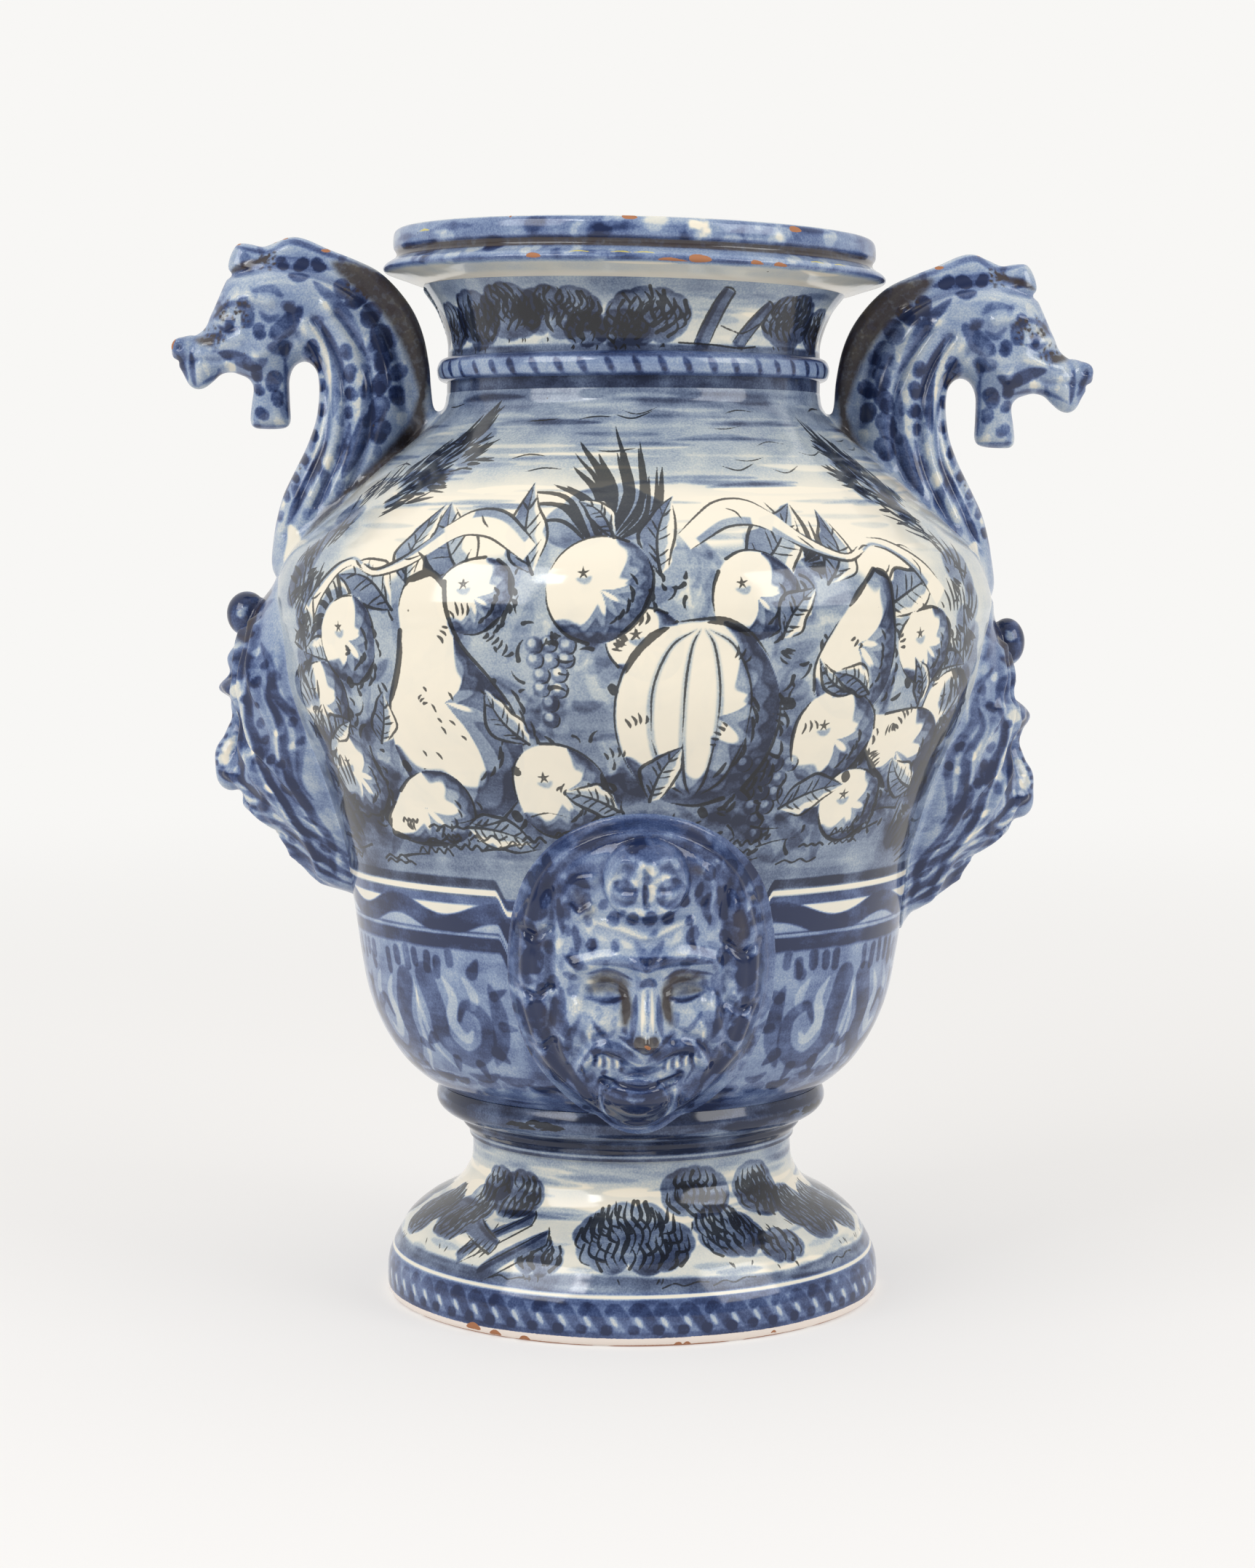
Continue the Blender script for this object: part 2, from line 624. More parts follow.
def dragon_field(side, x, y, z):
    """The whole dragon in its own plane: body, crest, beard and the modelling on them."""
    if side == "right":
        z = z + NOD_DEPTH * np.clip((x - NOD_START) / NOD_REACH, 0, 1)
    flat_x, flat_z = x[:, 0, :], z[:, 0, :]
    half = np.interp(flat_z, [300, 330, 360, 395], [20.0, 17.5, 15.5, 14.5])
    half = np.minimum(half, np.interp(flat_x, [150, 162, 173, 184, 191], [15.5, 14.0, 10.0, 8.0, 6.0]))

    def slab(outline, rounding, half, scale, count):
        """A flat form with rounded sides, from its outline in the dragon's plane."""
        depth = within(flat_x, flat_z, smooth(outline, count))
        inward = (np.maximum(rounding + depth, 0) / rounding)[:, None, :]
        return (np.sqrt(inward**2 + (np.abs(y) / half) ** 2) - 1) * scale

    half = half[:, None, :]
    form = slab(THROAT + JAW + NOSE + BACK, BODY_ROUNDING, half, np.minimum(half, BODY_ROUNDING), 260)
    form = blend(form, slab(CREST, CREST_ROUNDING, CREST_HALF, CREST_HALF, 200), 3.5)
    form = blend(form, slab(BEARD, BEARD_ROUNDING, BEARD_HALF, BEARD_ROUNDING, 90), 4.0)
    relief = np.zeros_like(flat_x)
    for path, height, width, count in (
        *((groove, -1.5, 1.9, 40) for groove in NECK_GROOVES),
        *((fold, 1.0, 2.6, 40) for fold in NECK_FOLDS),
        (CREST_LINE, -1.5, 2.0, 60),
        *((*line, 24) for line in HEAD_LINES),
    ):
        relief += height * swelling(to_line(flat_x, flat_z, smooth(path, count)), width)
    form = form - relief[:, None, :]
    for facing in (-1, 1):
        for join, width, lumps in ((blend, 2.2, HEAD_LUMPS), (carve, 1.6, HEAD_PITS)):
            for (at_x, at_y, at_z), radii in lumps:
                form = join(form, ball(x, y, z, (at_x, facing * at_y, at_z), radii), width)
    return form


# Lines modelled along the neck, from the nape down to the shoulder, and on the head.
NECK_GROOVES = (
    ((121, 404), (112, 392), (106.5, 376), (108, 356), (116, 334)),
    ((130, 402), (121.5, 388), (117.5, 371), (120, 350), (130, 326)),
    ((137, 396), (129.5, 386), (125.5, 371), (126.5, 352), (136, 330), (143, 314)),
)
NECK_FOLDS = (
    ((126, 408), (116.5, 392), (112, 373), (114, 352), (123, 330)),
    ((134, 400), (125.5, 387), (121.5, 371), (123, 351), (133, 328)),
)
CREST_LINE = (
    (166, 421), (158, 421.5), (147, 423.0), (135, 421.4), (122, 417), (110, 409), (101, 397), (96.5, 382),
    (95, 366),
)
HEAD_LINES = (
    (((149, 409), (157, 411), (165, 409), (171, 402.5)), 1.8, 2.8),
    (((188.5, 385.5), (184.5, 386.2), (180, 386)), -0.5, 1.4),
    (((180, 386), (172, 385.6), (165, 387)), -0.7, 1.2),
    (((180.8, 394.5), (182, 388), (181.5, 381), (180.5, 376)), -0.7, 1.8),
    (((177, 392.5), (169, 393), (161, 395)), 1.0, 2.4),
    (((141, 405), (139.5, 397), (143, 389)), -0.9, 2.6),
    (((151, 389), (158, 385), (167, 384.6)), 0.8, 2.0),
)
HEAD_LUMPS = (
    ((165.5, 9.2, 401.4), (4.6, 3.2, 3.2)), ((150, 9.0, 395), (9.0, 6.5, 7.5)),
    ((187.0, 3.6, 391.5), (3.4, 3.4, 3.4)),
)
HEAD_PITS = (
    ((187.5, 7.0, 391.2), (1.7, 2.2, 1.5)),
)


def make_dragon(side):
    """One handle: built as a field, skinned, cut to the vessel and painted."""
    _, (x, y, z) = grid(DRAGON_LOW, DRAGON_HIGH)
    rise = HANDLE_RISE[side]
    form = dragon_field(side, x, y, z)
    wall = np.hypot(x, y) - radius_at(z + rise)
    facing = -1.0 if side == "left" else 1.0

    def to_world(local):
        """Places in the vessel's frame from places in the dragon's plane."""
        return np.stack([facing * local[:, 0], local[:, 1], local[:, 2] + rise], axis=1)

    def flat(local):
        """Places on the flat drawing of the dragon, the same for both its sides."""
        return np.stack([local[:, 0], np.zeros(len(local)), local[:, 2]], axis=1)

    nodes = [part + side for part in ("handle_neck_", "dragon_head_", "dragon_crest_", "dragon_beard_")]
    form = luted(form, wall, 7.0, form - 9.0)
    sculpted_piece("dragon_" + side, form, DRAGON_LOW, to_world, flat, nodes, paint_dragon)


# Masks: each one's lowest point, height, half width, reach out from the wall, and where it sits round
# the vessel in radians.
MASKS = {
    "left": (166.0, 135.0, 48.0, 47.0, math.radians(-90)),
    "right": (156.0, 135.0, 48.0, 42.5, math.radians(90)),
    "front": (82.5, 129.5, 49.5, 26.0, 0.02),
    "back": (82.5, 129.5, 49.5, 26.0, math.pi),
}
MASK_MARGIN = 8.0
# The middle of the front mask in degrees, as the painted bands go round it.
FRONT_MASK_DEGREES = 1.1
# Half width along the height, and how far the flanks stand out, all as shares.
SIDE_WIDTHS = (
    (0.0, 0.0), (0.012, 0.16), (0.05, 0.34), (0.15, 0.48), (0.30, 0.68), (0.50, 0.90), (0.70, 1.0),
    (0.85, 0.92), (0.94, 0.66), (0.985, 0.32), (1.0, 0.0),
)
FRONT_WIDTHS = (
    (0.0, 0.0), (0.006, 0.11), (0.03, 0.24), (0.12, 0.54), (0.25, 0.82), (0.42, 0.98), (0.60, 1.0),
    (0.78, 0.90), (0.90, 0.68), (0.965, 0.42), (0.992, 0.20), (1.0, 0.0),
)
SIDE_FLANK = (
    (0.0, 0.02), (0.05, 0.22), (0.15, 0.36), (0.30, 0.46), (0.45, 0.45), (0.60, 0.38), (0.72, 0.30),
    (0.80, 0.20), (0.90, 0.12), (1.0, 0.02),
)
# How far each side mask's middle line stands out, as shares of its reach against shares of its height,
# then the row of lumps that makes its nose, and the ball of hair over its brow: place, middle and radii.
SIDE_PROFILES = {
    "left": (
        ((0.0, 0.04), (0.03, 0.44), (0.06, 0.47), (0.10, 0.46), (0.16, 0.53), (0.21, 0.60), (0.25, 0.74),
         (0.29, 0.82),
         (0.325, 0.78), (0.37, 0.84), (0.42, 0.74), (0.50, 0.58), (0.56, 0.50), (0.61, 0.50),
         (0.645, 0.555),
         (0.70, 0.44), (0.78, 0.37), (0.82, 0.30), (0.86, 0.22), (0.93, 0.12), (0.98, 0.04), (1.0, 0.0)),
        ((0.60, 0.45), (0.56, 0.455), (0.50, 0.585), (0.44, 0.745), (0.385, 0.80)),
        (0.878, 12.0, 8.4, 9.4),
    ),
    "right": (
        ((0.0, 0.0), (0.05, 0.24), (0.12, 0.40), (0.20, 0.56), (0.25, 0.78), (0.28, 0.86), (0.32, 0.88),
         (0.37, 0.88), (0.42, 0.82), (0.50, 0.62), (0.56, 0.54), (0.62, 0.60), (0.655, 0.50), (0.71, 0.30),
         (0.77, 0.24), (0.82, 0.17), (0.86, 0.14), (0.90, 0.10), (0.95, 0.03), (1.0, 0.0)),
        ((0.60, 0.48), (0.56, 0.48), (0.50, 0.60), (0.44, 0.765), (0.375, 0.84)),
        (0.865, 8.2, 7.4, 10.0),
    ),
}
FRONT_MIDDLE = (
    (0.0, 0.18), (0.04, 0.46), (0.11, 0.58), (0.168, 0.60), (0.224, 0.56), (0.265, 0.58), (0.315, 0.60),
    (0.368, 0.62), (0.43, 0.60), (0.50, 0.58), (0.54, 0.58), (0.61, 0.60), (0.68, 0.60), (0.76, 0.58),
    (0.855, 0.56), (0.93, 0.46), (0.98, 0.28), (1.0, 0.14),
)
FRONT_FLANK = (
    (0.0, 0.12), (0.05, 0.34), (0.15, 0.42), (0.30, 0.46), (0.45, 0.46), (0.60, 0.44), (0.75, 0.42),
    (0.90, 0.34), (1.0, 0.12),
)

# Modelling on the front mask: sideways from its middle and up from its chin, in millimetres. A ridge
# is a path, its height and its half width, and a lump is a place, how far it stands out and its size.
FRONT_RIDGES = (
    (((2.2, 72.5), (2.5, 65), (2.7, 54.5), (2.8, 44)), 5, 4.4), (((2.7, 54.5), (2.8, 43)), 3.4, 5),
    (((-25, 72), (-14, 75), (-5, 74.5), (1, 72.5)), 3, 3.4),
    (((29, 73.5), (18, 76), (10, 75), (4, 72.5)), 3, 3.4),
    (((-20, 63.5), (-12, 65), (-5, 61.5)), -0.9, 0.9), (((24, 64), (17, 65.5), (10, 62)), -0.9, 0.9),
    (((-22, 32.5), (-17, 38.5), (-10, 39), (-1, 34.5)), 3.6, 3.2),
    (((25, 33.5), (21, 39), (14, 39.5), (6, 34.5)), 3.6, 3.2),
    (((-14, 26), (-8, 25), (1, 23.5), (9, 25), (16, 28)), -2, 1.5),
    (((-13.5, 24), (-15.5, 14.5), (-11, 6.5), (-1, 4), (9, 6), (14.5, 13.5), (13.5, 24)), 1.7, 1.6),
    (((-24, 57), (-29, 45), (-28, 31.5), (-20, 17.5)), 2, 3),
    (((27, 58), (31, 46.5), (30, 32.5), (21, 17.5)), 2, 3),
    (((-14, 45), (-21, 41), (-26, 31.5)), -1.4, 1.9), (((18, 45), (25, 41), (29, 31.5)), -1.4, 1.9),
    (((-34, 101.5), (-33, 90), (-34.5, 73.5), (-33, 59.5), (-33.5, 43), (-27, 28)), -1.6, 2.0),
    (((34, 101.5), (32, 90), (33, 73.5), (31.5, 59.5), (33, 43), (28, 28)), -1.6, 2.0),
    (((-46, 86.5), (-40, 83), (-34, 86.5)), -1.8, 1.5), (((-47, 63), (-40, 59.5), (-34, 63)), -1.8, 1.5),
    (((-44, 40.5), (-38, 38.5), (-33, 42)), -1.8, 1.5), (((46, 80), (40, 76), (34, 80)), -1.8, 1.5),
    (((46, 57), (40, 53.5), (34, 57)), -1.8, 1.5), (((42, 37.5), (37, 35.5), (33, 39.5)), -1.8, 1.5),
    (((-13, 102.5), (-8.5, 96), (2.4, 94), (13, 96), (18, 102.5)), 1.6, 1.7),
    (((-17, 90), (-8, 88), (3, 84.5), (12, 88), (20, 90)), 1.2, 1.7),
    (((-2, 100.5), (-8, 100.5), (-11.5, 106), (-7, 114), (-1, 112), (-3, 105)), 2, 1.7),
    (((7, 100.5), (13, 100.5), (16.5, 106), (12, 114), (6, 112), (8, 105)), 2, 1.7),
    (((2.4, 96), (2.4, 102.5), (2.4, 110)), -1.8, 1.4),
    (((-18, 106), (-24, 104.5), (-28, 98), (-24, 92), (-19, 94.5)), 1.8, 2.2),
    (((26, 108.5), (28, 100.5), (26, 93.5)), 1.6, 2.2),
)
FRONT_LUMPS = (
    ((-12.5, 62), -4.0, (9, 6)), ((17.5, 63), -4.0, (9, 6)), ((-12.5, 61.5), 1.2, (6, 3.0)),
    ((17.5, 62), 1.2, (6, 3.0)), ((-19, 50), 3.4, (9, 8)), ((24, 50), 3.4, (9, 8)),
    ((2.8, 41.5), 4.6, (4.6, 3.8)), ((-3.6, 42), 2.6, (3, 2.8)), ((9.2, 42), 2.6, (3, 2.8)),
    ((1.0, 80), 2, (20, 9)), ((-40, 93.5), 2.2, (5.5, 7.5)), ((-41.5, 71.5), 2.2, (5.5, 8)),
    ((-40, 51), 2.2, (5.5, 7.5)), ((39, 91), 2.4, (4.5, 9)), ((41.5, 67), 2.2, (5.5, 8)),
    ((39, 46.5), 2.2, (5.5, 7.5)),
)
# Full round forms on the front mask: the curl on the brow and the ball of the lower lip.
FRONT_DOMES = (((2.4, 106), 6.0, 16.5), ((-1.0, 15.0), 7.0, 13.4))
# Modelling on a side mask, the same on both its halves: outwards from the middle, and up as a share.
SIDE_RIDGES = (
    (((1, 0.652), (7, 0.665), (13, 0.645)), 2.0, 3.0),
    (((6, 0.43), (10, 0.37), (11, 0.29), (9, 0.21), (6, 0.13)), 2.2, 1.9),
    (((11, 0.83), (15, 0.80), (19, 0.75), (23, 0.66), (20, 0.57), (19, 0.48), (24, 0.38), (23, 0.27),
      (18, 0.16), (12, 0.06)), 3.4, 2.5),
    (((23, 0.86), (27, 0.81), (30, 0.74), (32, 0.63), (29, 0.52), (32, 0.41), (31, 0.29), (25, 0.17)), 3.0,
     2.3),
    (((31, 0.85), (38, 0.72), (41, 0.58), (38, 0.44), (36, 0.30)), 2.4, 2.2),
    (((2, 0.30), (7, 0.305), (12, 0.285)), -2.4, 1.4),
    (((2, 0.225), (7, 0.215), (10, 0.20)), -1.6, 1.3),
    (((3, 0.20), (5, 0.12), (4, 0.04)), 1.3, 1.5),
    (((2, 0.79), (8, 0.805), (13, 0.775), (14, 0.72), (9, 0.69)), -1.6, 1.3),
)
SIDE_LUMPS = (
    ((13, 0.575), -4.5, (6.0, 6.0)), ((13, 0.57), 2.4, (3.6, 2.8)), ((14, 0.47), 2.4, (5.5, 6.0)),
    ((6.5, 0.385), 3.4, (3.0, 3.0)), ((8, 0.745), 3.0, (5.0, 5.0)), ((26, 0.72), -1.5, (4.0, 8.0)),
)


def listed(table, at):
    """A mask's table of heights and shares, read at some heights."""
    rows = smooth(table, 120)
    return np.interp(at, rows[:, 0], rows[:, 1])


def mask_relief(kind, s, h, bottom, tall, edge):
    """The modelling on a mask. A side mask is the same on both its halves."""
    ridges, lumps, unit, count = FRONT_RIDGES, FRONT_LUMPS, 1.0, 24
    if kind != "front":
        s, ridges, lumps, unit, count = np.abs(s), SIDE_RIDGES, SIDE_LUMPS, tall, 40
    relief = np.zeros_like(s)
    for path, height, width in ridges:
        path = smooth([(a, bottom + unit * b) for a, b in path], count)
        relief += height * swelling(to_line(s, h, path), width)
    for (a, b), height, (wide, high) in lumps:
        relief += height * np.exp(-(((s - a) / wide) ** 2) - (((h - bottom - unit * b) / high) ** 2))
    if kind == "front":
        for (a, b), height, size in FRONT_DOMES:
            away = np.hypot(s - a, h - bottom - b) / size
            relief += height * np.sqrt(np.clip(1 - away**2, 0, 1))
        relief += 2.6 * swelling(edge + 3.6, 2.6) - 1.2 * swelling(edge + 8.5, 2.0)
    return relief


def with_nose(form, place, side):
    """A side mask's form with the row of lumps that makes its nose and the ball of hair over its brow."""
    bottom, tall, _, reach, _ = MASKS[side]
    _, nose, (crown_up, crown_out, crown_round, crown_tall) = SIDE_PROFILES[side]

    def lump(form, up, out, wide, high, deep, fillet):
        """The form with one lump on its middle line."""
        level = bottom + tall * up
        return blend(form, ball(*place, (0.0, level, radius_at(level) + out), (wide, high, deep)), fillet)

    form = lump(form, crown_up, crown_out, crown_round * 1.1, crown_tall, crown_round, 1.6)
    for (up_a, out_a), (up_b, out_b) in zip(nose, nose[1:]):
        for share in (0.0, 0.5, 1.0):
            up = up_a + (up_b - up_a) * share
            size = 4.0 + 2.6 * (0.60 - up) / 0.22
            form = lump(form, up, (out_a + (out_b - out_a) * share) * reach, size, size * 1.15, size, 1.8)
    return form


def mask_piece(side, paint):
    """A press-moulded mask: a relief over the vessel's wall, with lumps modelled onto it."""
    bottom, tall, half_width, reach, angle = MASKS[side]
    kind = side if side in SIDE_PROFILES else "front"
    deepest = radius_at(bottom) if kind == "front" else radius_at(bottom + tall * 0.98)
    wall_low = min(radius_at(bottom), radius_at(bottom + tall)) - 24.0
    wall_high = max(radius_at(np.linspace(bottom, bottom + tall, 9)).max(), deepest) + reach + 4.0
    low = np.array([-half_width - MASK_MARGIN, bottom - MASK_MARGIN, wall_low])
    axes, (s, h, d) = grid(low, [half_width + MASK_MARGIN, bottom + tall + MASK_MARGIN, wall_high])
    flat_s, flat_h = s[:, :, 0], h[:, :, 0]
    up = np.clip((flat_h - bottom) / tall, 0, 1)
    if kind == "front":
        widths, brim = FRONT_WIDTHS, 9.0
        middle_rise, flank_rise = listed(FRONT_MIDDLE, up), listed(FRONT_FLANK, up)
    else:
        widths, brim = SIDE_WIDTHS, 13.0
        middle_rise = listed(SIDE_PROFILES[kind][0], up)
        flank_rise = np.minimum(listed(SIDE_FLANK, up), 0.80 * middle_rise)
    line = [(half_width * share, bottom + tall * at) for at, share in smooth(widths, 60)]
    edge = within(flat_s, flat_h, line + [(-a, b) for a, b in line[::-1]])
    rise = flank_rise + (middle_rise - flank_rise) * swelling(flat_s / half_width, 0.42)
    rise = rise * reach * np.clip(-edge / brim, 0, 1) ** 0.5
    rise = rise + mask_relief(kind, flat_s, flat_h, bottom, tall, edge) * np.clip(-edge / 5.0, 0, 1)
    wall_flat = np.sqrt(np.maximum(radius_at(flat_h) ** 2 - flat_s**2, 0))
    top = wall_flat + rise - np.clip(edge, 0, None) * 1.5
    slopes = np.gradient(top, SCULPT_STEP)
    tilt = 1 / np.sqrt(1 + slopes[0] ** 2 + slopes[1] ** 2)
    form = (d - top[:, :, None]) * tilt[:, :, None]
    if kind != "front":
        form = with_nose(form, (s, h, d), side)
    form = luted(form, np.hypot(s, d) - radius_at(h), 4.0, edge[:, :, None] - 4.0)
    cosine, sine = math.cos(angle), math.sin(angle)

    def to_world(local):
        """Places in the vessel's frame from the mask's own: sideways, height and distance out."""
        aside, height, out = local.T
        return np.stack([out * sine + aside * cosine, -out * cosine + aside * sine, height], axis=1)

    solid = (form < 0).any(axis=0)
    foremost = low[2] + SCULPT_STEP * (solid.shape[1] - 1 - np.argmax(solid[:, ::-1], axis=1))
    foremost = np.convolve(np.pad(foremost, 12, mode="edge"), np.hanning(27)[1:-1] / 13, mode="valid")

    def flat(local):
        """Places on the mask's drawing. A side mask is drawn in profile, once for each of its halves."""
        aside = local[:, 0]
        if kind != "front":
            behind = np.maximum(np.interp(local[:, 1], axes[1], foremost) - local[:, 2], 0)
            aside = np.where(aside < 0, -1, 1) * np.hypot(behind, 0.35 * aside)
        return np.stack([aside, np.zeros(len(local)), local[:, 1] - bottom], axis=1)

    node = "mask_" + side
    sculpted_piece(node + "_glazed", form, low, to_world, flat, [node], paint)


def towards(turn, reach):
    """A step in a direction, as sideways and up."""
    return reach * math.cos(turn), reach * math.sin(turn)


def aslant(turn, along, out):
    """A place along a slanting direction and out to its left, as sideways and up."""
    cosine, sine = math.cos(turn), math.sin(turn)
    return along * cosine - out * sine, along * sine + out * cosine


def strokes(canvas, rows, colour="blue"):
    """Brush strokes from a table: path, half width, tone and softness."""
    for path, half, tone, soft in rows:
        canvas.brush(path, half, tone, soft, colour=colour)


def comma(canvas, across, up, start, reach, bend, half):
    """A black comma stroke: from its start, curving to one side as it goes."""
    x, z = start
    path = [(x, z), (x + 0.45 * reach[0] + bend, z + 0.45 * reach[1]), (x + reach[0], z + reach[1])]
    canvas.ink(canvas.at(across, up, path), half)


def fan(canvas, hand, across, up, centre, count, length, direction, spread, half, pitch):
    """A row of comma strokes side by side, turning a little from one to the next."""
    x, z = centre
    side = direction - math.pi / 2
    for index in range(count):
        share = (index - (count - 1) / 2) / max(count - 1, 1)
        turn = direction + spread * share + hand.uniform(-0.10, 0.10)
        along = share * (count - 1) * pitch
        start = (x + along * math.cos(side), z + along * math.sin(side) - 1.6 * share * share * length / 5)
        reach = length * hand.uniform(0.75, 1.1) * (1 - 0.35 * abs(share))
        comma(canvas, across, up, start, towards(turn, reach),
              hand.uniform(-1.0, -0.3) * (1 if spread > 0 else -1), half * hand.uniform(0.75, 1.2))


def bush(canvas, hand, across, up, wide, tall):
    """A lobed blue bush, darker low down, each lobe hatched with a row of bold black arcs."""
    lobes = []
    count = 5 + int((wide + tall) / 9)
    for index in range(count):
        turn = 2 * math.pi * index / count + hand.uniform(-0.25, 0.25)
        radius = min(wide, tall) * hand.uniform(0.24, 0.33)
        lobes.append(((wide / 2 - radius) * math.cos(turn), tall / 2 + (tall / 2 - radius) * math.sin(turn),
                      radius))
    lobes.append((0, tall / 2, min(wide, tall) * 0.34))
    low = [(x + 1.0, z - 1, r * 0.62) for x, z, r in lobes if z < tall * 0.55]
    high = [(x, z + r * 0.25, r * 0.5) for x, z, r in lobes if z > tall * 0.6]
    canvas.blobs(across, up, lobes, 0.46, 0.9)
    canvas.blobs(across, up, low, 0.138, 1.4)
    canvas.blobs(across, up, high, -0.138, 1.6)
    for x, z, radius in lobes:
        if hand.uniform() < 0.22:
            continue
        turn = hand.uniform(-0.25, 0.25) - 0.035 * x
        bend = (1 if x + hand.uniform(-4, 4) > 0 else -1) * hand.uniform(0.6, 1.0)
        count = max(2, int(2 * radius / 3.6))
        for index in range(count):
            share = (index - (count - 1) / 2) / count
            reach = radius * (0.98 - 0.9 * share * share) * hand.uniform(0.75, 1.05)
            path = []
            for aside, rise in ((-0.35, -0.62), (0.22, 0.1), (-0.30, 0.78)):
                a, b = aslant(turn, 2 * radius * share + aside * bend * reach, rise * reach)
                path.append((x + a, z + b))
            half, taper = 0.76 * hand.uniform(0.8, 1.3), hand.choice(("both", "start", "end"))
            canvas.ink(canvas.at(across, up, path), half, taper)
    for _ in range(3):
        x = hand.uniform(-0.3, 0.3) * wide
        comma(canvas, across, up, (x, 1.2), (hand.uniform(-2.5, 2.5), -hand.uniform(1.5, 3.0)), 0.3, 0.4)


def plank(canvas, hand, across, up, start, end, width, tone=0.58):
    """A board of a broken fence, washed blue with its edges in black."""
    start, end = np.array(start, float), np.array(end, float)
    along = (end - start) / np.linalg.norm(end - start)
    side = np.array([-along[1], along[0]]) * width / 2
    corners = np.array([start - side, end - side * 0.85, end + side * 0.85, start + side])
    outline = canvas.at(across, up, corners)
    canvas.spare(outline, 0.15)
    canvas.pool(outline, tone, 0.9)
    canvas.brush(canvas.at(across, up, [start + side * 0.55, end + side * 0.55]), width * 0.16, 0.28, 0.9,
                 "none")
    wobble = hand.uniform(-0.4, 0.4, (4, 2))
    canvas.ink(canvas.at(across, up, [start - side + wobble[0], (start + end) / 2 - side,
                                      end - side * 0.9 + wobble[1]]),
               0.62, "start")
    canvas.ink(canvas.at(across, up, [start + side, (start + end) / 2 + side + wobble[2] * 0.5,
                                      end + side * 0.9]),
               0.55, "both")
    canvas.ink(canvas.at(across, up, [end - side * 1.1, end + along * 0.8, end + side * 1.2 + wobble[3]]),
               0.5)


def tuft(canvas, hand, across, up, length, count, spread, direction, half, tone):
    """Long leaves bursting from one root, in thick black strokes over blue."""
    lobes = [(*towards(direction + spread * share, length * 0.38), length * 0.30)
             for share in (-0.75, -0.3, 0.25, 0.75)]
    canvas.blobs(across, up, lobes, tone, 1.4)
    for index in range(count):
        share = index / (count - 1) - 0.5
        turn = direction + 2 * spread * share + hand.uniform(-0.08, 0.08)
        reach = length * hand.uniform(0.75, 1.1)
        path = [towards(turn, 0.16 * reach), towards(turn - 0.16, 0.6 * reach), towards(turn + 0.12, reach)]
        canvas.ink(canvas.at(across, up, path), half * hand.uniform(0.6, 1.15))


def wisps(canvas, hand, count, left, right, low, high, half):
    """Loose curved black strokes scattered over a dark passage."""
    for _ in range(count):
        turn, bend = hand.uniform(0, 2 * math.pi), hand.uniform(0.5, 1.5) * hand.choice((-1, 1))
        radius = hand.uniform(3.0, 8.0)
        path = [towards(turn + bend * t, radius) for t in (0, 0.35, 0.7, 1)]
        canvas.ink(canvas.at(hand.uniform(left, right), hand.uniform(low, high), path),
                   half * hand.uniform(0.6, 1.4), hand.choice(("start", "end", "both")))


def scribble(canvas, hand, across, up, wide, tall, turns, half):
    """A loose black zigzag for grass or broken ground."""
    path = [(wide * i / turns, tall * (0.5 if i % 2 else -0.5) * hand.uniform(0.5, 1.1))
            for i in range(turns + 1)]
    canvas.ink(canvas.at(across, up, path), half, "none")


def streaks(canvas, hand, count, low, high, tone, longest):
    """Level brush streaks, now darker and now lighter than what lies under them."""
    for _ in range(count):
        across, up = hand.uniform(-180, 180), hand.uniform(low, high)
        length = longest * hand.uniform(0.4, 1.0)
        rise = hand.uniform(-1.2, 1.2)
        canvas.brush(canvas.at(across, up, [(-length / 2, 0), (0, rise), (length / 2, rise * 0.6)]),
                     hand.uniform(0.7, 2.0), hand.choice((-0.6, 1.0)) * tone * hand.uniform(0.4, 1.0), 1.6)


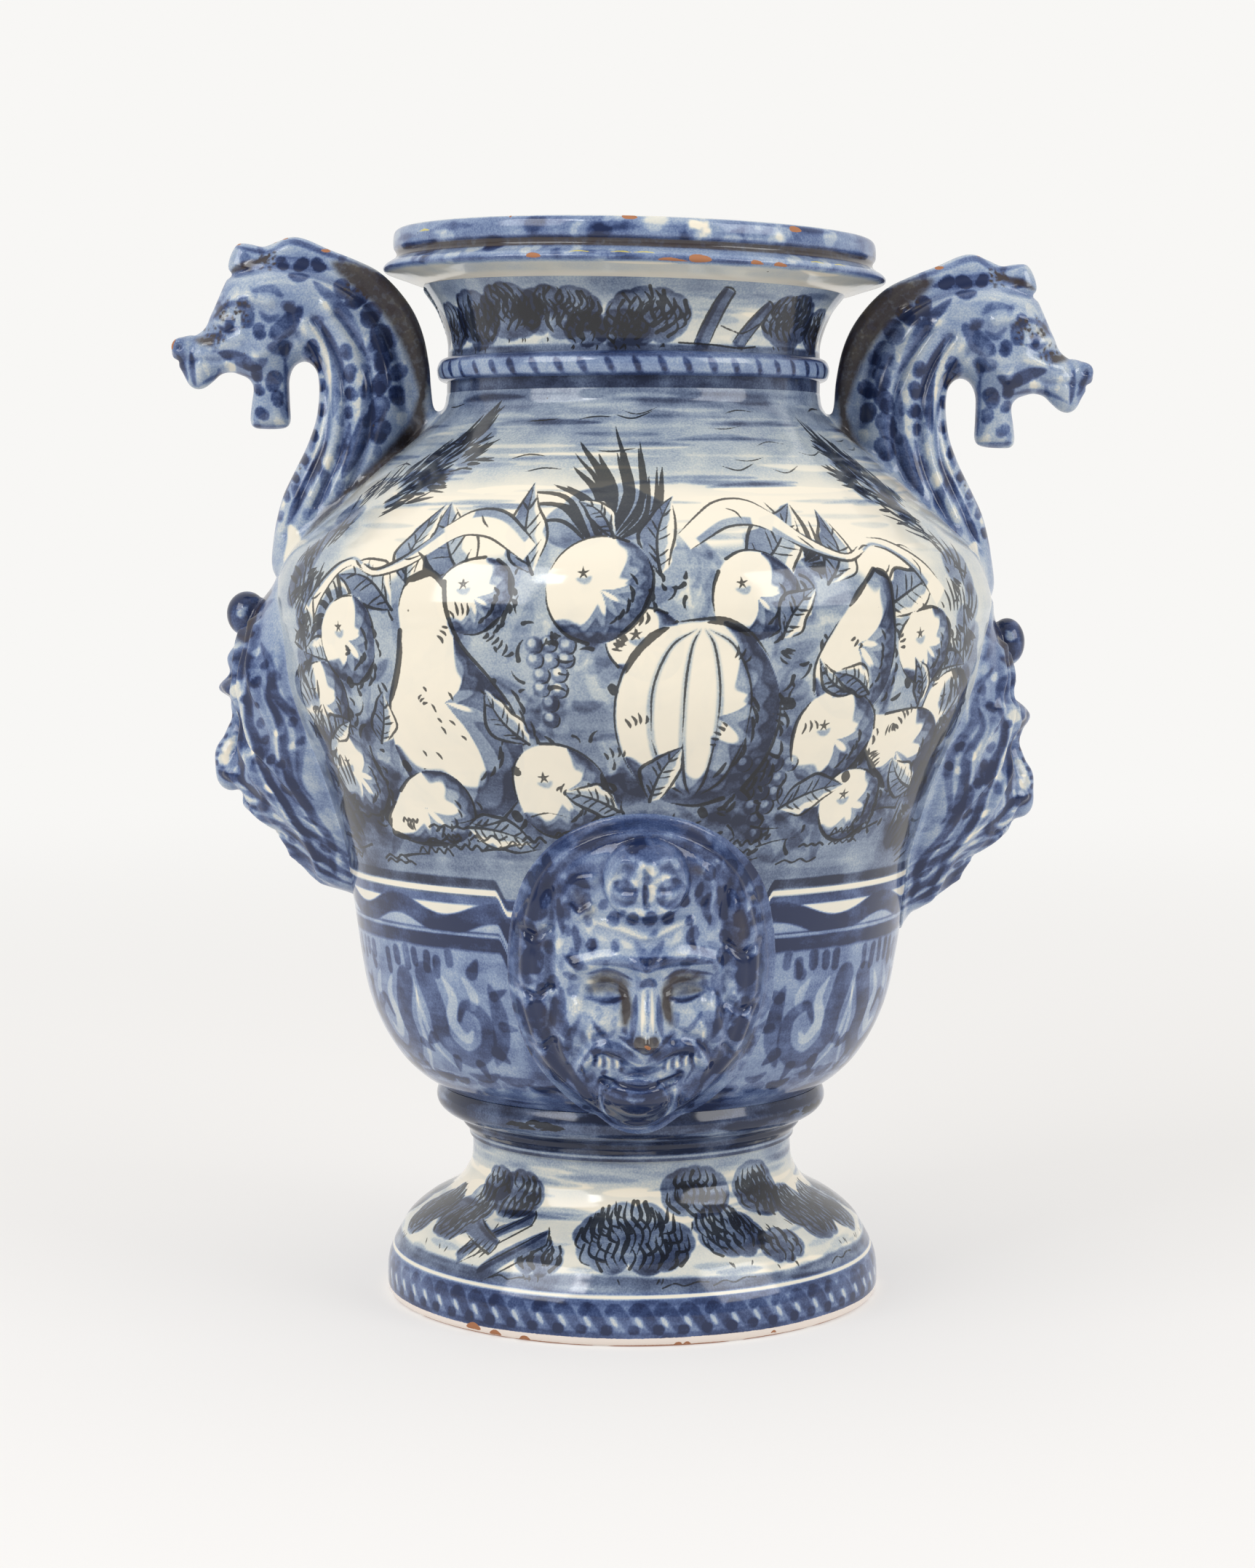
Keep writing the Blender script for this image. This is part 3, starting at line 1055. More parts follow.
def form(canvas, hand, across, up, outline, away, share, tone, scallops, half, hatch=6):
    """A rounded thing left in the ground colour: scalloped washes on its shaded side, a loose black
    outline and rows of comma strokes."""
    ring = smooth(list(outline) + [outline[0]], 73)[:-1]
    found, depth, a, b = canvas.inside(canvas.at(across, up, ring), 2.5)
    canvas.wash["blue"][found] *= 1 - 0.97 * ease(depth / 0.9 + 0.5)
    canvas.mark["line"][found] = np.where(depth > -0.4, UNPAINTED, canvas.mark["line"][found])
    centre = (ring.max(0) + ring.min(0)) / 2
    a, b = a + ring.mean(0)[0] - centre[0], b + ring.mean(0)[1] - centre[1]
    size = np.ptp(ring, axis=0).min() / 2
    turn = np.arctan2(b, a)
    phase = hand.uniform(0, 6.28)
    for depth_share, strength, count in ((1.0, tone, scallops), (0.66, 0.7 * tone, scallops * 1.6),
                                         (0.30, 0.7 * tone, scallops * 2.3)):
        facing = np.clip(0.82 * np.cos(turn - away) + 0.30, 0, 1) ** 0.65
        thick = depth_share * share * size * facing * (0.84 + 0.24 * np.sin(2 * count * turn + phase))
        inner = np.minimum((thick - depth) / 2.0, depth / 0.5)
        canvas.wash["blue"][found] += strength * ease(inner + 0.5) * (facing > 0)
        dried = 0.10 * np.exp(-(((thick - depth - 0.6) / 0.8) ** 2))
        canvas.wash["blue"][found] += dried * (facing > 0) * (depth > 0)
        phase += 1.7
    count = len(ring)
    start = int(hand.integers(0, count))
    for first, last in ((0.0, 0.31), (0.345, 0.60), (0.62, 0.80), (0.83, 0.985)):
        places = np.arange(start + int(first * count), start + int(last * count)) % count
        arc = (ring[places] - centre) * (1 + hand.uniform(-0.01, 0.03)) + centre
        canvas.ink(canvas.at(across, up, arc[::4]), half * hand.uniform(0.8, 1.6),
                   hand.choice(("start", "end", "both")))
    for _ in range(3):
        near = int((away + hand.uniform(-0.9, 0.9)) / (2 * math.pi) * count) % count
        arc = ring[np.arange(near, near + count // 9) % count]
        canvas.ink(canvas.at(across, up, (arc - centre) * 0.985 + centre), half * hand.uniform(1.5, 2.6))
    bearing = np.arctan2(ring[:, 1] - centre[1], ring[:, 0] - centre[0])
    for index in range(hatch):
        heading = away + (index - (hatch - 1) / 2) * 1.5 / max(hatch, 1) + hand.uniform(-0.05, 0.05)
        near = np.argmin(np.abs(np.angle(np.exp(1j * (bearing - heading)))))
        spot = centre + (ring[near] - centre) * hand.uniform(0.66, 0.74)
        length = hand.uniform(0.14, 0.24) * size + 1.0
        reach = (-length * math.sin(heading + 0.5), length * math.cos(heading + 0.5))
        comma(canvas, across, up, tuple(spot), reach, hand.uniform(0.3, 0.9), 0.62 * hand.uniform(0.8, 1.4))
        outside = centre + (ring[near] - centre) * hand.uniform(1.06, 1.20)
        comma(canvas, across, up, tuple(outside), reach, hand.uniform(0.4, 1.2),
              0.75 * hand.uniform(0.7, 1.4))


def round_fruit(canvas, hand, across, up, radius, away, leafy=True):
    """An apple or a quince, with the dimple of its flower and perhaps a leaf."""
    turns = np.linspace(0, 2 * math.pi, 15)[:-1]
    swell = (1 + 0.05 * np.sin(2 * turns + hand.uniform(0, 6))
             + 0.035 * np.sin(3 * turns + hand.uniform(0, 6)))
    outline = np.stack([radius * 1.04 * np.cos(turns) * swell, radius * 0.97 * np.sin(turns) * swell],
                       axis=1)
    form(canvas, hand, across, up, outline, away, 0.80, 0.34, hand.choice((3.0, 3.5, 4.0)), 0.55, 7)
    x, z = -0.30 * radius, 0.28 * radius
    for index in range(5):
        turn = 1.257 * index + 0.4
        ray = [(x + a, z + b) for a, b in (towards(turn, 0.6), towards(turn, 2.6))]
        canvas.ink(canvas.at(across, up, ray), 0.5, "end")
    canvas.brush(canvas.at(across, up, [(x - 2.4, z - 2.2), (x + 1, z - 3.0), (x + 3, z - 1.4)]), 1.2, 0.26,
                 1.2)
    if leafy:
        leaf(canvas, hand, across + 0.25 * radius / canvas.unit(up), up + 0.92 * radius,
             hand.uniform(0.1, 2.6), radius * hand.uniform(0.9, 1.2), radius * 0.42)


def leaf(canvas, hand, across, up, turn, length, wide):
    """A leaf with one half washed in, its rib and side veins in black."""
    share = np.linspace(0, 1, 11)
    half = wide / 2 * np.sin(math.pi * share**0.8) * (1 + 0.16 * np.sin(share * 22 + hand.uniform(0, 6)))
    bend = hand.uniform(-0.16, 0.16) * length * np.sin(math.pi * share)
    ahead, side = np.array([math.cos(turn), math.sin(turn)]), np.array([-math.sin(turn), math.cos(turn)])
    rib = share[:, None] * length * ahead + bend[:, None] * side
    left, right = rib + half[:, None] * side, rib - half[:, None] * side
    canvas.spare(canvas.at(across, up, np.vstack([left, right[::-1]])), 0.06, 0.8)
    canvas.pool(canvas.at(across, up, np.vstack([left, rib[::-1]])), 0.46, 0.8, 0.06)
    canvas.pool(canvas.at(across, up, np.vstack([rib * 0.98, (0.45 * rib + 0.55 * right)[::-1]])), 0.253,
                0.9)
    for line, half, taper in ((left[::2], 0.75, "both"), (right[1::2], 0.6, "both"),
                              (rib[::2], 0.7, "end")):
        canvas.ink(canvas.at(across, up, line), half, taper)
    for at in (1, 2, 4, 5, 7):
        for edge, facing in ((left, 1), (right, -1)):
            tip = 0.25 * rib[at] + 0.75 * edge[min(at + 1, 10)] + 0.06 * length * ahead
            canvas.ink(canvas.at(across, up, [rib[at], 0.5 * (rib[at] + tip) + 0.3 * facing * ahead, tip]),
                       0.48 * hand.uniform(0.6, 1.2), "both")


def grapes(canvas, hand, across, up, wide):
    """A hanging bunch of grapes, each with its own light."""
    rows, radius = 6, 3.4
    for row in range(rows):
        count = max(1, int(wide / (2 * radius) * (1 - row / (rows + 0.5)) + 0.5))
        for index in range(count):
            x = (index - (count - 1) / 2) * 1.85 * radius + hand.uniform(-0.5, 0.5)
            z = -row * 1.65 * radius + hand.uniform(-0.4, 0.4)
            canvas.blobs(across, up, [(x, z, radius)], 0.30, 0.8)
            canvas.blobs(across, up, [(x - 0.8, z + 0.9, radius * 0.5)], -0.44, 1.0)
            arc = [(x + a, z + b) for a, b in (towards(t, radius) for t in (0.9, 0.1, -0.8, -1.7))]
            canvas.ink(canvas.at(across, up, arc), 0.42 * hand.uniform(0.7, 1.2))


def ribbon(canvas, hand, path):
    """A strip of cloth left pale, shaded along one edge and outlined in black."""
    path = smooth(path, 60)
    unit = canvas.unit(path[:, 1].mean())
    flat = path * (unit, 1)
    ahead = np.gradient(flat, axis=0)
    side = np.stack([-ahead[:, 1], ahead[:, 0]], axis=1) / np.linalg.norm(ahead, axis=1)[:, None]
    half = 5 * (0.62 + 0.38 * np.sin(np.linspace(0.2, 7.5, 60)))[:, None]
    left, right = (flat + side * half) / (unit, 1), (flat - side * half) / (unit, 1)
    for first in range(0, 60, 10):
        last = min(first + 12, 60)
        canvas.spare(np.vstack([left[first:last], right[first:last][::-1]]), 0.05, 0.6)
    for first, last in ((2, 16), (20, 34), (38, 56)):
        part = slice(first, last)
        canvas.pool(np.vstack([(0.3 * left + 0.7 * right)[part], right[part][::-1]]), 0.34, 1.0)
    for edge, size in ((left, 0.5), (right, 0.75)):
        for first, last in ((0, 21), (22, 40), (41, 60)):
            canvas.ink(edge[first:last:4], size * hand.uniform(0.8, 1.3), "both")
    for index in (10, 24, 37, 50):
        fold = [0.7 * left[index] + 0.3 * right[index], path[index + 2],
                0.2 * left[index] + 0.8 * right[index + 4]]
        canvas.ink(fold, 0.5, "both")


def fringe(canvas, hand, angle, low, high, facing):
    """Clumps of feathery leaves in long dark arcs beside a mask."""
    for up in np.arange(low + 6, high, 18.0):
        shift = hand.uniform(-3.5, 3.5)
        lobes = [(hand.uniform(-8, 8) + shift, hand.uniform(-6, 8), hand.uniform(5, 8)) for _ in range(4)]
        canvas.blobs(angle, up, lobes, hand.uniform(0.24, 0.36), 2.0)
        for side in (-1, 1):
            direction = math.pi / 2 + side * hand.uniform(0.1, 0.9)
            fan(canvas, hand, angle, up, (side * 4 + shift, hand.uniform(-6, 6)), int(hand.integers(4, 9)),
                hand.uniform(9, 18), direction, -side * facing * hand.uniform(0.8, 1.3), 0.92, 3.1)
        fan(canvas, hand, angle, up + 8, (facing * 3, 0), 5, 9, math.pi / 2 - facing * 0.9, 0.7, 0.8, 2.2)


def around(canvas, low, high, tone, soft, colour="blue", wave=0.0, seed=0):
    """A band of colour all the way round, between two levels that waver a little."""
    waver = wave * canvas.waver(seed, height=low)
    over, under = canvas.level - low - waver, high + waver * 0.7 - canvas.level
    share = ease(over / soft + 0.5) * ease(under / soft + 0.5)
    canvas.lay(tone * share, colour)


def fade(canvas, full, none, tone):
    """A wash that is full at one level and runs out towards another."""
    canvas.lay(tone * ease((canvas.level - none) / (full - none)))


def chipped_edge(canvas, level, half, seed):
    """Clay that shows in places along an edge."""
    width = half * (1 + 0.35 * canvas.waver(seed + 1, 5, level))
    kept = 1.8 * np.clip(canvas.waver(seed + 2, 7, level) - 0.2, 0, 1)
    bare = width - np.abs(canvas.level - level - 0.1 * canvas.waver(seed, 1, level)) - kept
    canvas.mark["chip"] = np.maximum(canvas.mark["chip"], bare.astype(np.float32))


def dip(angle):
    """How far the painted bands sink as they meet the front and back masks, in millimetres."""
    from_front = np.abs((np.asarray(angle) + 180 - FRONT_MASK_DEGREES) % 360 - 180)
    from_back = 180 - from_front
    beside = np.minimum(from_front, from_back)
    return 8 * ease((27.4 - beside) / 2.6)


def paint_bands(canvas):
    """Cream line, wave and dark line where belly and bowl meet."""
    turn = np.radians(canvas.angle)
    up = canvas.level + dip(canvas.angle) + 0.35 * canvas.waver(31)
    wave = 168.6 + 3.3 * np.sin(turn * 12.5 + 0.55 * np.sin(turn * 2 + 1) + 0.9) + 0.5 * np.sin(turn * 5)

    def between(low, high, soft=0.7):
        """How full a band between two levels is at each point."""
        return ease((up - low) / soft + 0.5) * ease((high - up) / soft + 0.5)

    zone = between(155.5, 185.0, 1.2)
    canvas.wipe(zone)
    canvas.lay(zone * 0.72)
    canvas.lay(0.20 * between(181.6, 185.0))
    canvas.wipe(0.97 * between(178.4, 180.9, 0.6))
    canvas.lay(0.22 * ease((3.9 - np.abs(up - wave)) / 1.0 + 0.5))
    canvas.wipe(0.95 * (ease((up - wave - 4.3) / 0.9 + 0.5) * ease((174.3 - up) / 0.9 + 0.5)))
    canvas.wipe(0.62 * (ease((wave - 4.4 - up) / 0.9 + 0.5) * between(163.6, 170.0, 0.9)))
    canvas.wipe(0.55 * between(161.6, 162.9, 0.6))
    canvas.lay(0.26 * between(156.2, 161.2))
    canvas.mark["line"][(up > 153) & (up < 184.5)] = UNPAINTED


# A leaf scroll, as shares of its size: each stroke's path, half width, tone, softness and taper.
SCROLL = (
    (((-0.42, 0.42), (-0.30, 0.05), (-0.30, -0.25), (-0.02, -0.46), (0.30, -0.30), (0.34, 0.02),
      (0.12, 0.16),
      (0.0, -0.02)), 0.15, 0.34, 1.4, "end"),
    (((0.44, 0.40), (0.52, 0.10), (0.50, -0.22), (0.34, -0.50)), 0.10, 0.30, 1.2, "both"),
    (((-0.16, 0.44), (-0.04, 0.22), (-0.10, -0.04), (0.04, -0.22), (0.16, -0.12)), 0.075, -0.22, 1.4,
     "both"),
    (((0.12, 0.46), (0.24, 0.26), (0.20, 0.10)), 0.06, -0.18, 1.2, "both"),
    (((-0.62, 0.38), (-0.56, 0.0), (-0.50, -0.35), (-0.28, -0.62)), 0.035, -0.18, 1.0, "both"),
)


def scroll(canvas, hand, across, up, size, facing):
    """A fat leaf scroll: a dark curl with a pale one inside it and lobes along its back."""

    def stroke(path, half, tone, soft, taper):
        """One stroke, from shares of the scroll's size."""
        path = [(facing * x * size, z * size) for x, z in path]
        canvas.brush(canvas.at(across, up, path), half * size, tone, soft, taper)

    for row in SCROLL:
        stroke(*row)
    for index in range(7):
        t = -2.6 + 0.62 * index
        lobe = [(wide * math.cos(t), 0.02 + tall * math.sin(t))
                for wide, tall in ((0.56, 0.54), (0.72, 0.70))]
        stroke(lobe, 0.075 * hand.uniform(0.7, 1.1), 0.34, 1.0, "end")


def paint_bowl(canvas):
    """A row of leaf scrolls on blue, with the bands above it and dabs below."""
    hand = np.random.default_rng(11)
    canvas.lay(0.44)
    for index, angle in enumerate((-62, -38, 42, 66, 98, 128, 152, -150, -124, -92)):
        scroll(canvas, hand, angle, 126 + hand.uniform(-2, 2), 38, 1 if index % 2 else -1)
    for angle in np.arange(-178, 180, 3.4):
        if hand.uniform() < 0.78:
            top = 154.5 - hand.uniform(0, 4) - float(dip(angle))
            tall = hand.uniform(3.5, 7.5)
            canvas.brush(canvas.at(angle + hand.uniform(-0.5, 0.5), top,
                                   [(0, 0), (hand.uniform(-0.8, 0.8), -tall)]),
                         hand.uniform(1.7, 2.5), 0.36, 1.0, "none")
    around(canvas, 88, 97, 0.22, 4.0, wave=1.5, seed=12)
    for angle in np.arange(-179, 180, 7.5):
        x = hand.uniform(4, 9)
        canvas.brush(canvas.at(angle + hand.uniform(-2, 2), 103 + hand.uniform(-3, 3),
                               [(-x, hand.uniform(-1, 1)), (0, -1.6), (x, hand.uniform(-1, 2))]),
                     hand.uniform(1.6, 3.0), 0.30, 1.2)
        canvas.blobs(angle, 99, [(0, 0, 3.2), (3.4, 0.6, 2.6), (-3.2, 0.5, 2.4)], 0.16, 1.2)
    streaks(canvas, hand, 60, 90, 104, 0.22, 26)
    canvas.lay(0.3 * ease((26.0 - np.abs(canvas.angle - FRONT_MASK_DEGREES)) / 5.0))
    paint_bands(canvas)


def paint_belly(canvas):
    """The sky and the open ground, the heap of fruit on it, dark trees and the bands."""
    hand = np.random.default_rng(5)
    canvas.lay(0.62, "grey")
    level, turn = canvas.level, np.radians(canvas.angle)
    fade(canvas, 352, 330, 0.26)
    fade(canvas, 374, 350, 0.22)
    streaks(canvas, hand, 170, 326, 374, 0.32, 60)
    streaks(canvas, hand, 60, 312, 334, 0.22, 50)
    canvas.wipe(0.35 * ease((331 - level) / 10))
    for _ in range(40):
        canvas.ink(canvas.at(hand.uniform(-180, 180), hand.uniform(340, 370),
                             [(-7, 0), (0, hand.uniform(-2, 2)), (8, 1)]),
                   hand.uniform(0.3, 0.6))
    for top, tone in ((250, 0.13), (230, 0.15), (212, 0.16)):
        edge = top + 7 * canvas.waver(top, 2) + 2.5 * np.abs(np.sin(turn * 31))
        canvas.lay(tone * ease((edge - level) / 2.5))
    streaks(canvas, hand, 130, 190, 244, 0.16, 40)
    paint_heap(canvas, hand, 0, 1)
    paint_heap(canvas, hand, 180, -1)
    for angle, up, length, slope in ((-52, 336, 40, 0.72), (60, 328, 38, 2.35), (128, 336, 40, 0.72),
                                     (-120, 328, 38, 2.35)):
        for _ in range(26):
            along, out = hand.uniform(-0.1, 0.8) * length, hand.uniform(-10, 10)
            canvas.blobs(angle, up, [(*aslant(slope, along, out), hand.uniform(3, 6))], 0.22, 2.0)
        for _ in range(110):
            along, out = hand.uniform(-0.2, 0.72) * length, hand.uniform(-11, 11)
            reach = towards(slope + hand.uniform(-0.5, 0.5) + 0.04 * out, hand.uniform(6, 14))
            comma(canvas, angle, up, aslant(slope, along, out), reach, hand.uniform(-1.6, 1.6),
                  hand.uniform(0.5, 1.35))
    for angle, low, high, facing in ((-62, 196, 330, 1), (62, 192, 322, -1), (-118, 196, 330, -1),
                                     (118, 196, 322, 1)):
        fringe(canvas, hand, angle, low, high, facing)
    for _ in range(60):
        scribble(canvas, hand, hand.uniform(-180, 180), hand.uniform(189, 208), hand.uniform(8, 20),
                 hand.uniform(1.2, 3.0), int(hand.integers(4, 9)), hand.uniform(0.35, 0.62))
    for _ in range(50):
        across, up = hand.uniform(-180, 180), hand.uniform(189, 216)
        canvas.ink(canvas.at(across, up, [(-9, 0), (-2, hand.uniform(-2, 2)), (8, hand.uniform(-1, 3))]),
                   hand.uniform(0.35, 0.8), hand.choice(("start", "end")))
    paint_bands(canvas)


GOURD = (
    (-6, 47), (4, 48), (10, 40), (10, 27), (17, 14), (26, 0), (28, -16), (22, -33), (8, -42), (-8, -43),
    (-22, -34), (-28, -17), (-25, -1), (-17, 12), (-11, 26), (-10, 38),
)
MELON = (
    (0, 31), (12, 29.5), (22, 20), (27.5, 5), (26.5, -11), (19, -25), (6, -31.5), (-8, -31), (-20, -24),
    (-27, -10), (-27.5, 6), (-21, 21), (-11, 29.5),
)
PEAR = (
    (-2, 27), (4.5, 26), (8.5, 16), (14, 4), (15.5, -9), (11, -20), (1, -24.5), (-10, -21.5),
    (-15.5, -11), (-13, 3), (-8.5, 15),
)


# The heap of fruit: places in degrees from its middle and in height. Leaves have a direction, a length and
# a width, and round fruits a radius.
BACK_LEAVES = (
    (-24, 298, 2.3, 44, 20), (-38, 290, 2.8, 38, 18), (16, 302, 0.7, 44, 20), (40, 290, 0.35, 36, 18),
    (-50, 268, 3.0, 30, 17), (-15, 304, 1.9, 36, 16), (52, 264, 0.1, 28, 16), (-36, 300, 1.6, 30, 14),
    (30, 300, 1.2, 30, 15), (4, 304, 1.3, 30, 14),
)
FRONT_LEAVES = (
    (-16, 240, 2.2, 26, 13), (26, 214, 0.3, 28, 14), (3, 218, 1.1, 24, 13), (-30, 206, -0.2, 28, 13),
    (22, 280, 0.9, 24, 13), (-44, 238, 1.2, 22, 12), (58, 218, 2.6, 26, 13), (38, 258, 2.7, 20, 11),
    (-2, 214, 2.8, 22, 11), (-58, 238, 0.4, 20, 11), (50, 252, 1.9, 20, 10),
)
BACK_FRUITS = (
    (-57, 252, 18), (-48, 278, 17), (-24, 296, 15), (18, 296, 17), (50, 276, 16), (59, 250, 17),
    (2, 278, 14),
)
RIBBONS = (
    ((8, 316), (15, 326), (22, 326), (28, 316), (35, 310), (42, 316), (49, 308), (54, 294)),
    ((-16, 312), (-23, 322), (-30, 322), (-36, 310), (-43, 304), (-50, 308), (-56, 296), (-60, 282)),
)
TUFTS = (
    (-4, 312, 44, 23, 1.0, 0.15, 1.5, 0.40), (26, 306, 24, 13, 1.0, -0.5, 1.1, 0.34),
    (-50, 282, 24, 13, 1.1, 0.9, 1.1, 0.34),
)
DARK_SPOTS = (
    (-40, 230, 2.0), (24, 256, 1.8), (-3, 262, 1.7), (38, 226, 2.0), (-19, 230, 1.6), (-48, 262, 1.8),
    (46, 262, 1.7), (-20, 212, 2.0), (12, 214, 1.8),
)
# The heap's outline: how high it reaches at each angle.
HEAP_ANGLES = (-66, -58, -48, -36, -22, -6, 12, 28, 42, 54, 62, 68)
HEAP_TOPS = (180, 262, 292, 306, 313, 320, 317, 316, 300, 284, 250, 180)


def paint_heap(canvas, hand, middle, facing):
    """Fruit, leaves and ribbons heaped up on open ground, and the same turned about on the far side."""
    away = -0.6 if facing > 0 else -2.5

    def spot(across):
        """The angle round the vessel of a place on the heap."""
        return middle + facing * across

    def fruit(shape, across, up, turn, scale, *looks):
        """One of the drawn fruits, turned and scaled."""
        outline = [aslant(turn, x * scale, z * scale) for x, z in shape]
        form(canvas, hand, spot(across), up, [(facing * x, z) for x, z in outline], away, *looks)

    def round_ones(rows, leafy=False):
        """Apples or quinces: place and radius."""
        for a, z, radius in rows:
            round_fruit(canvas, hand, spot(a), z, radius, away, leafy)

    def leaves(rows):
        """Leaves from a table, turned about on the far side."""
        for a, z, direction, length, wide in rows:
            leaf(canvas, hand, spot(a), z, direction if facing > 0 else math.pi - direction, length, wide)

    aside = ((canvas.angle - middle + 180) % 360 - 180) * facing
    heaped = np.interp(aside, HEAP_ANGLES, HEAP_TOPS) + 4 * canvas.waver(77, 5)
    canvas.lay(0.29 * ease((heaped - canvas.level) / 5) * ease((canvas.level - 190) / 30))
    beside = ease((np.abs(aside) - 46) / 14) * ease((346 - canvas.level) / 30)
    canvas.lay((0.16 + 0.10 * (aside < 0)) * beside * ease((84 - np.abs(aside)) / 6))
    for _ in range(420):
        a, z = hand.uniform(-62, 62), hand.uniform(198, 314)
        reach, turn, bend = hand.uniform(5, 13), hand.uniform(0, math.pi), hand.uniform(-3, 3)
        step = towards(turn, reach)
        if z < 318 - 0.022 * a * a:
            half, tone = hand.uniform(1.5, 4.2), hand.choice((-0.10, 0.14, 0.20))
            canvas.brush(canvas.at(spot(a), z, [(-step[0], -step[1]), (bend, bend), step]), half, tone, 1.5)
    wisps(canvas, hand, 230, middle - 60, middle + 60, 200, 312, 0.75)
    for a, z, length, count, spread, lean_over, half, tone in TUFTS:
        tuft(canvas, hand, spot(a), z, length, count, spread, math.pi / 2 + facing * lean_over, half, tone)
    leaves(BACK_LEAVES)
    for path in RIBBONS:
        ribbon(canvas, hand, [(spot(a), z) for a, z in path])
    round_ones(BACK_FRUITS)
    fruit(PEAR, 36, 276, -0.35, 1.15, 0.82, 0.35, 4.0, 0.7)
    round_ones([(-5, 299, 20)], True)
    grapes(canvas, hand, spot(-12), 278, 22)
    fruit(MELON, 10, 252, 0.1, 1.12, 0.70, 0.36, 3.5, 0.8, 9)
    for shift in (-15, -5, 6, 16):
        rib = [(facing * shift * math.cos(t) * 1.25, 32 * math.sin(t))
               for t in (1.45, 0.9, 0.3, -0.3, -0.9, -1.4)]
        canvas.brush(canvas.at(spot(10), 252, rib), 1.4, 0.18, 1.2)
        canvas.ink(canvas.at(spot(10), 252, rib[:4]), 0.5)
        canvas.ink(canvas.at(spot(10), 252, rib[3:]), 0.6)
    fruit(GOURD, -30, 253, 0.16, 1.08, 0.78, 0.36, 3.0, 0.85, 10)
    canvas.ink(canvas.at(spot(-30), 304, [(-facing * 7, 0), (-facing * 9, 5), (-facing * 14, 8)]), 1.3,
               "end")
    for _ in range(12):
        x, z = hand.uniform(-18, 8) * facing, hand.uniform(-30, 12)
        comma(canvas, spot(-30), 252, (x, z), (hand.uniform(1, 2.6) * facing, -hand.uniform(1.5, 4)), 0.4,
              0.6)
    fruit(PEAR, 49, 236, 1.25, 1.05, 0.82, 0.35, 4.0, 0.75)
    round_ones([(33, 241, 19)], True)
    round_ones([(-54, 224, 17)])
    grapes(canvas, hand, spot(22), 232, 26)
    round_ones([(41, 214, 15)])
    fruit(PEAR, -38, 211, 1.9, 0.95, 0.82, 0.35, 4.0, 0.7)
    round_ones([(-12, 222, 18)])
    leaves(FRONT_LEAVES)
    for a, z, radius in DARK_SPOTS:
        canvas.ink(canvas.at(spot(a), z, [(0, 0), (0.8, -1.2)]), radius, "none")
    for _ in range(26):
        a, z = hand.uniform(-58, 58), hand.uniform(204, 300)
        fan(canvas, hand, spot(a), z, (0, 0), int(hand.integers(3, 6)), hand.uniform(3.5, 6.5),
            hand.uniform(0, 6.28), hand.choice((-1, 1)) * 0.6, 0.62, 1.9)


def paint_ring(canvas):
    """The deep blue ring with its lines and the dark marks on its top."""
    hand = np.random.default_rng(13)
    canvas.lay(0.80)
    canvas.lay(0.5, "grey")
    streaks(canvas, hand, 90, 70, 88, 0.34, 36)
    around(canvas, 76.5, 79.5, -0.14, 2.0, wave=0.8, seed=4)
    around(canvas, 69.6, 73.6, 0.20, 1.2, wave=0.4, seed=5)
    line = ease((0.55 - np.abs(canvas.level - 68.4)) / 0.6 + 0.5)
    canvas.wipe(0.62 * line)
    for angle in (-28, 64, 118, 171, -140, -95):
        for _ in range(16):
            x, z = hand.uniform(-13, 13), hand.uniform(-1.4, 1.4)
            canvas.ink(canvas.at(angle, 82.0, [(x - 4, z - 0.5), (x, z + 0.4), (x + 4.5, z - 0.3)]),
                       hand.uniform(0.4, 1.1))
    for angle in (30, 160, -170):
        canvas.ink(canvas.at(angle, 75.5, [(-1.6, 0), (0, 0.2), (1.8, 0)]), 0.8)


def rope(canvas, hand, level, tall, pitch_degrees, tone):
    """Slanted S strokes round a border, each ending in a dark drop."""
    count = int(round(360 / pitch_degrees))
    for index in range(count):
        angle = 360 * index / count - 180 + hand.uniform(-0.35, 0.35)
        path = canvas.at(angle, level, [(-4.6, tall * 0.30), (-3.2, tall * 0.40), (-0.8, tall * 0.30),
                                        (1.5, -tall * 0.04), (3.4, -tall * 0.33), (4.8, -tall * 0.39)])
        canvas.brush(path, 2.2 * hand.uniform(0.85, 1.15), tone, 0.9, "none")
        canvas.brush(canvas.at(angle, level, [(-4.4, tall * 0.30), (-3.0, tall * 0.38)]), 1.5, tone * 0.25,
                     1.0, "none")
        canvas.brush(canvas.at(angle, level, [(4.3, -tall * 0.38), (5.5, -tall * 0.40)]), 1.8, tone * 1.1,
                     0.8, "none")
        canvas.brush(canvas.at(angle, level,
                               [(-4.3, tall * 0.10), (-2.9, -tall * 0.10), (-1.5, -tall * 0.30)]),
                     1.0, -0.34, 0.8)


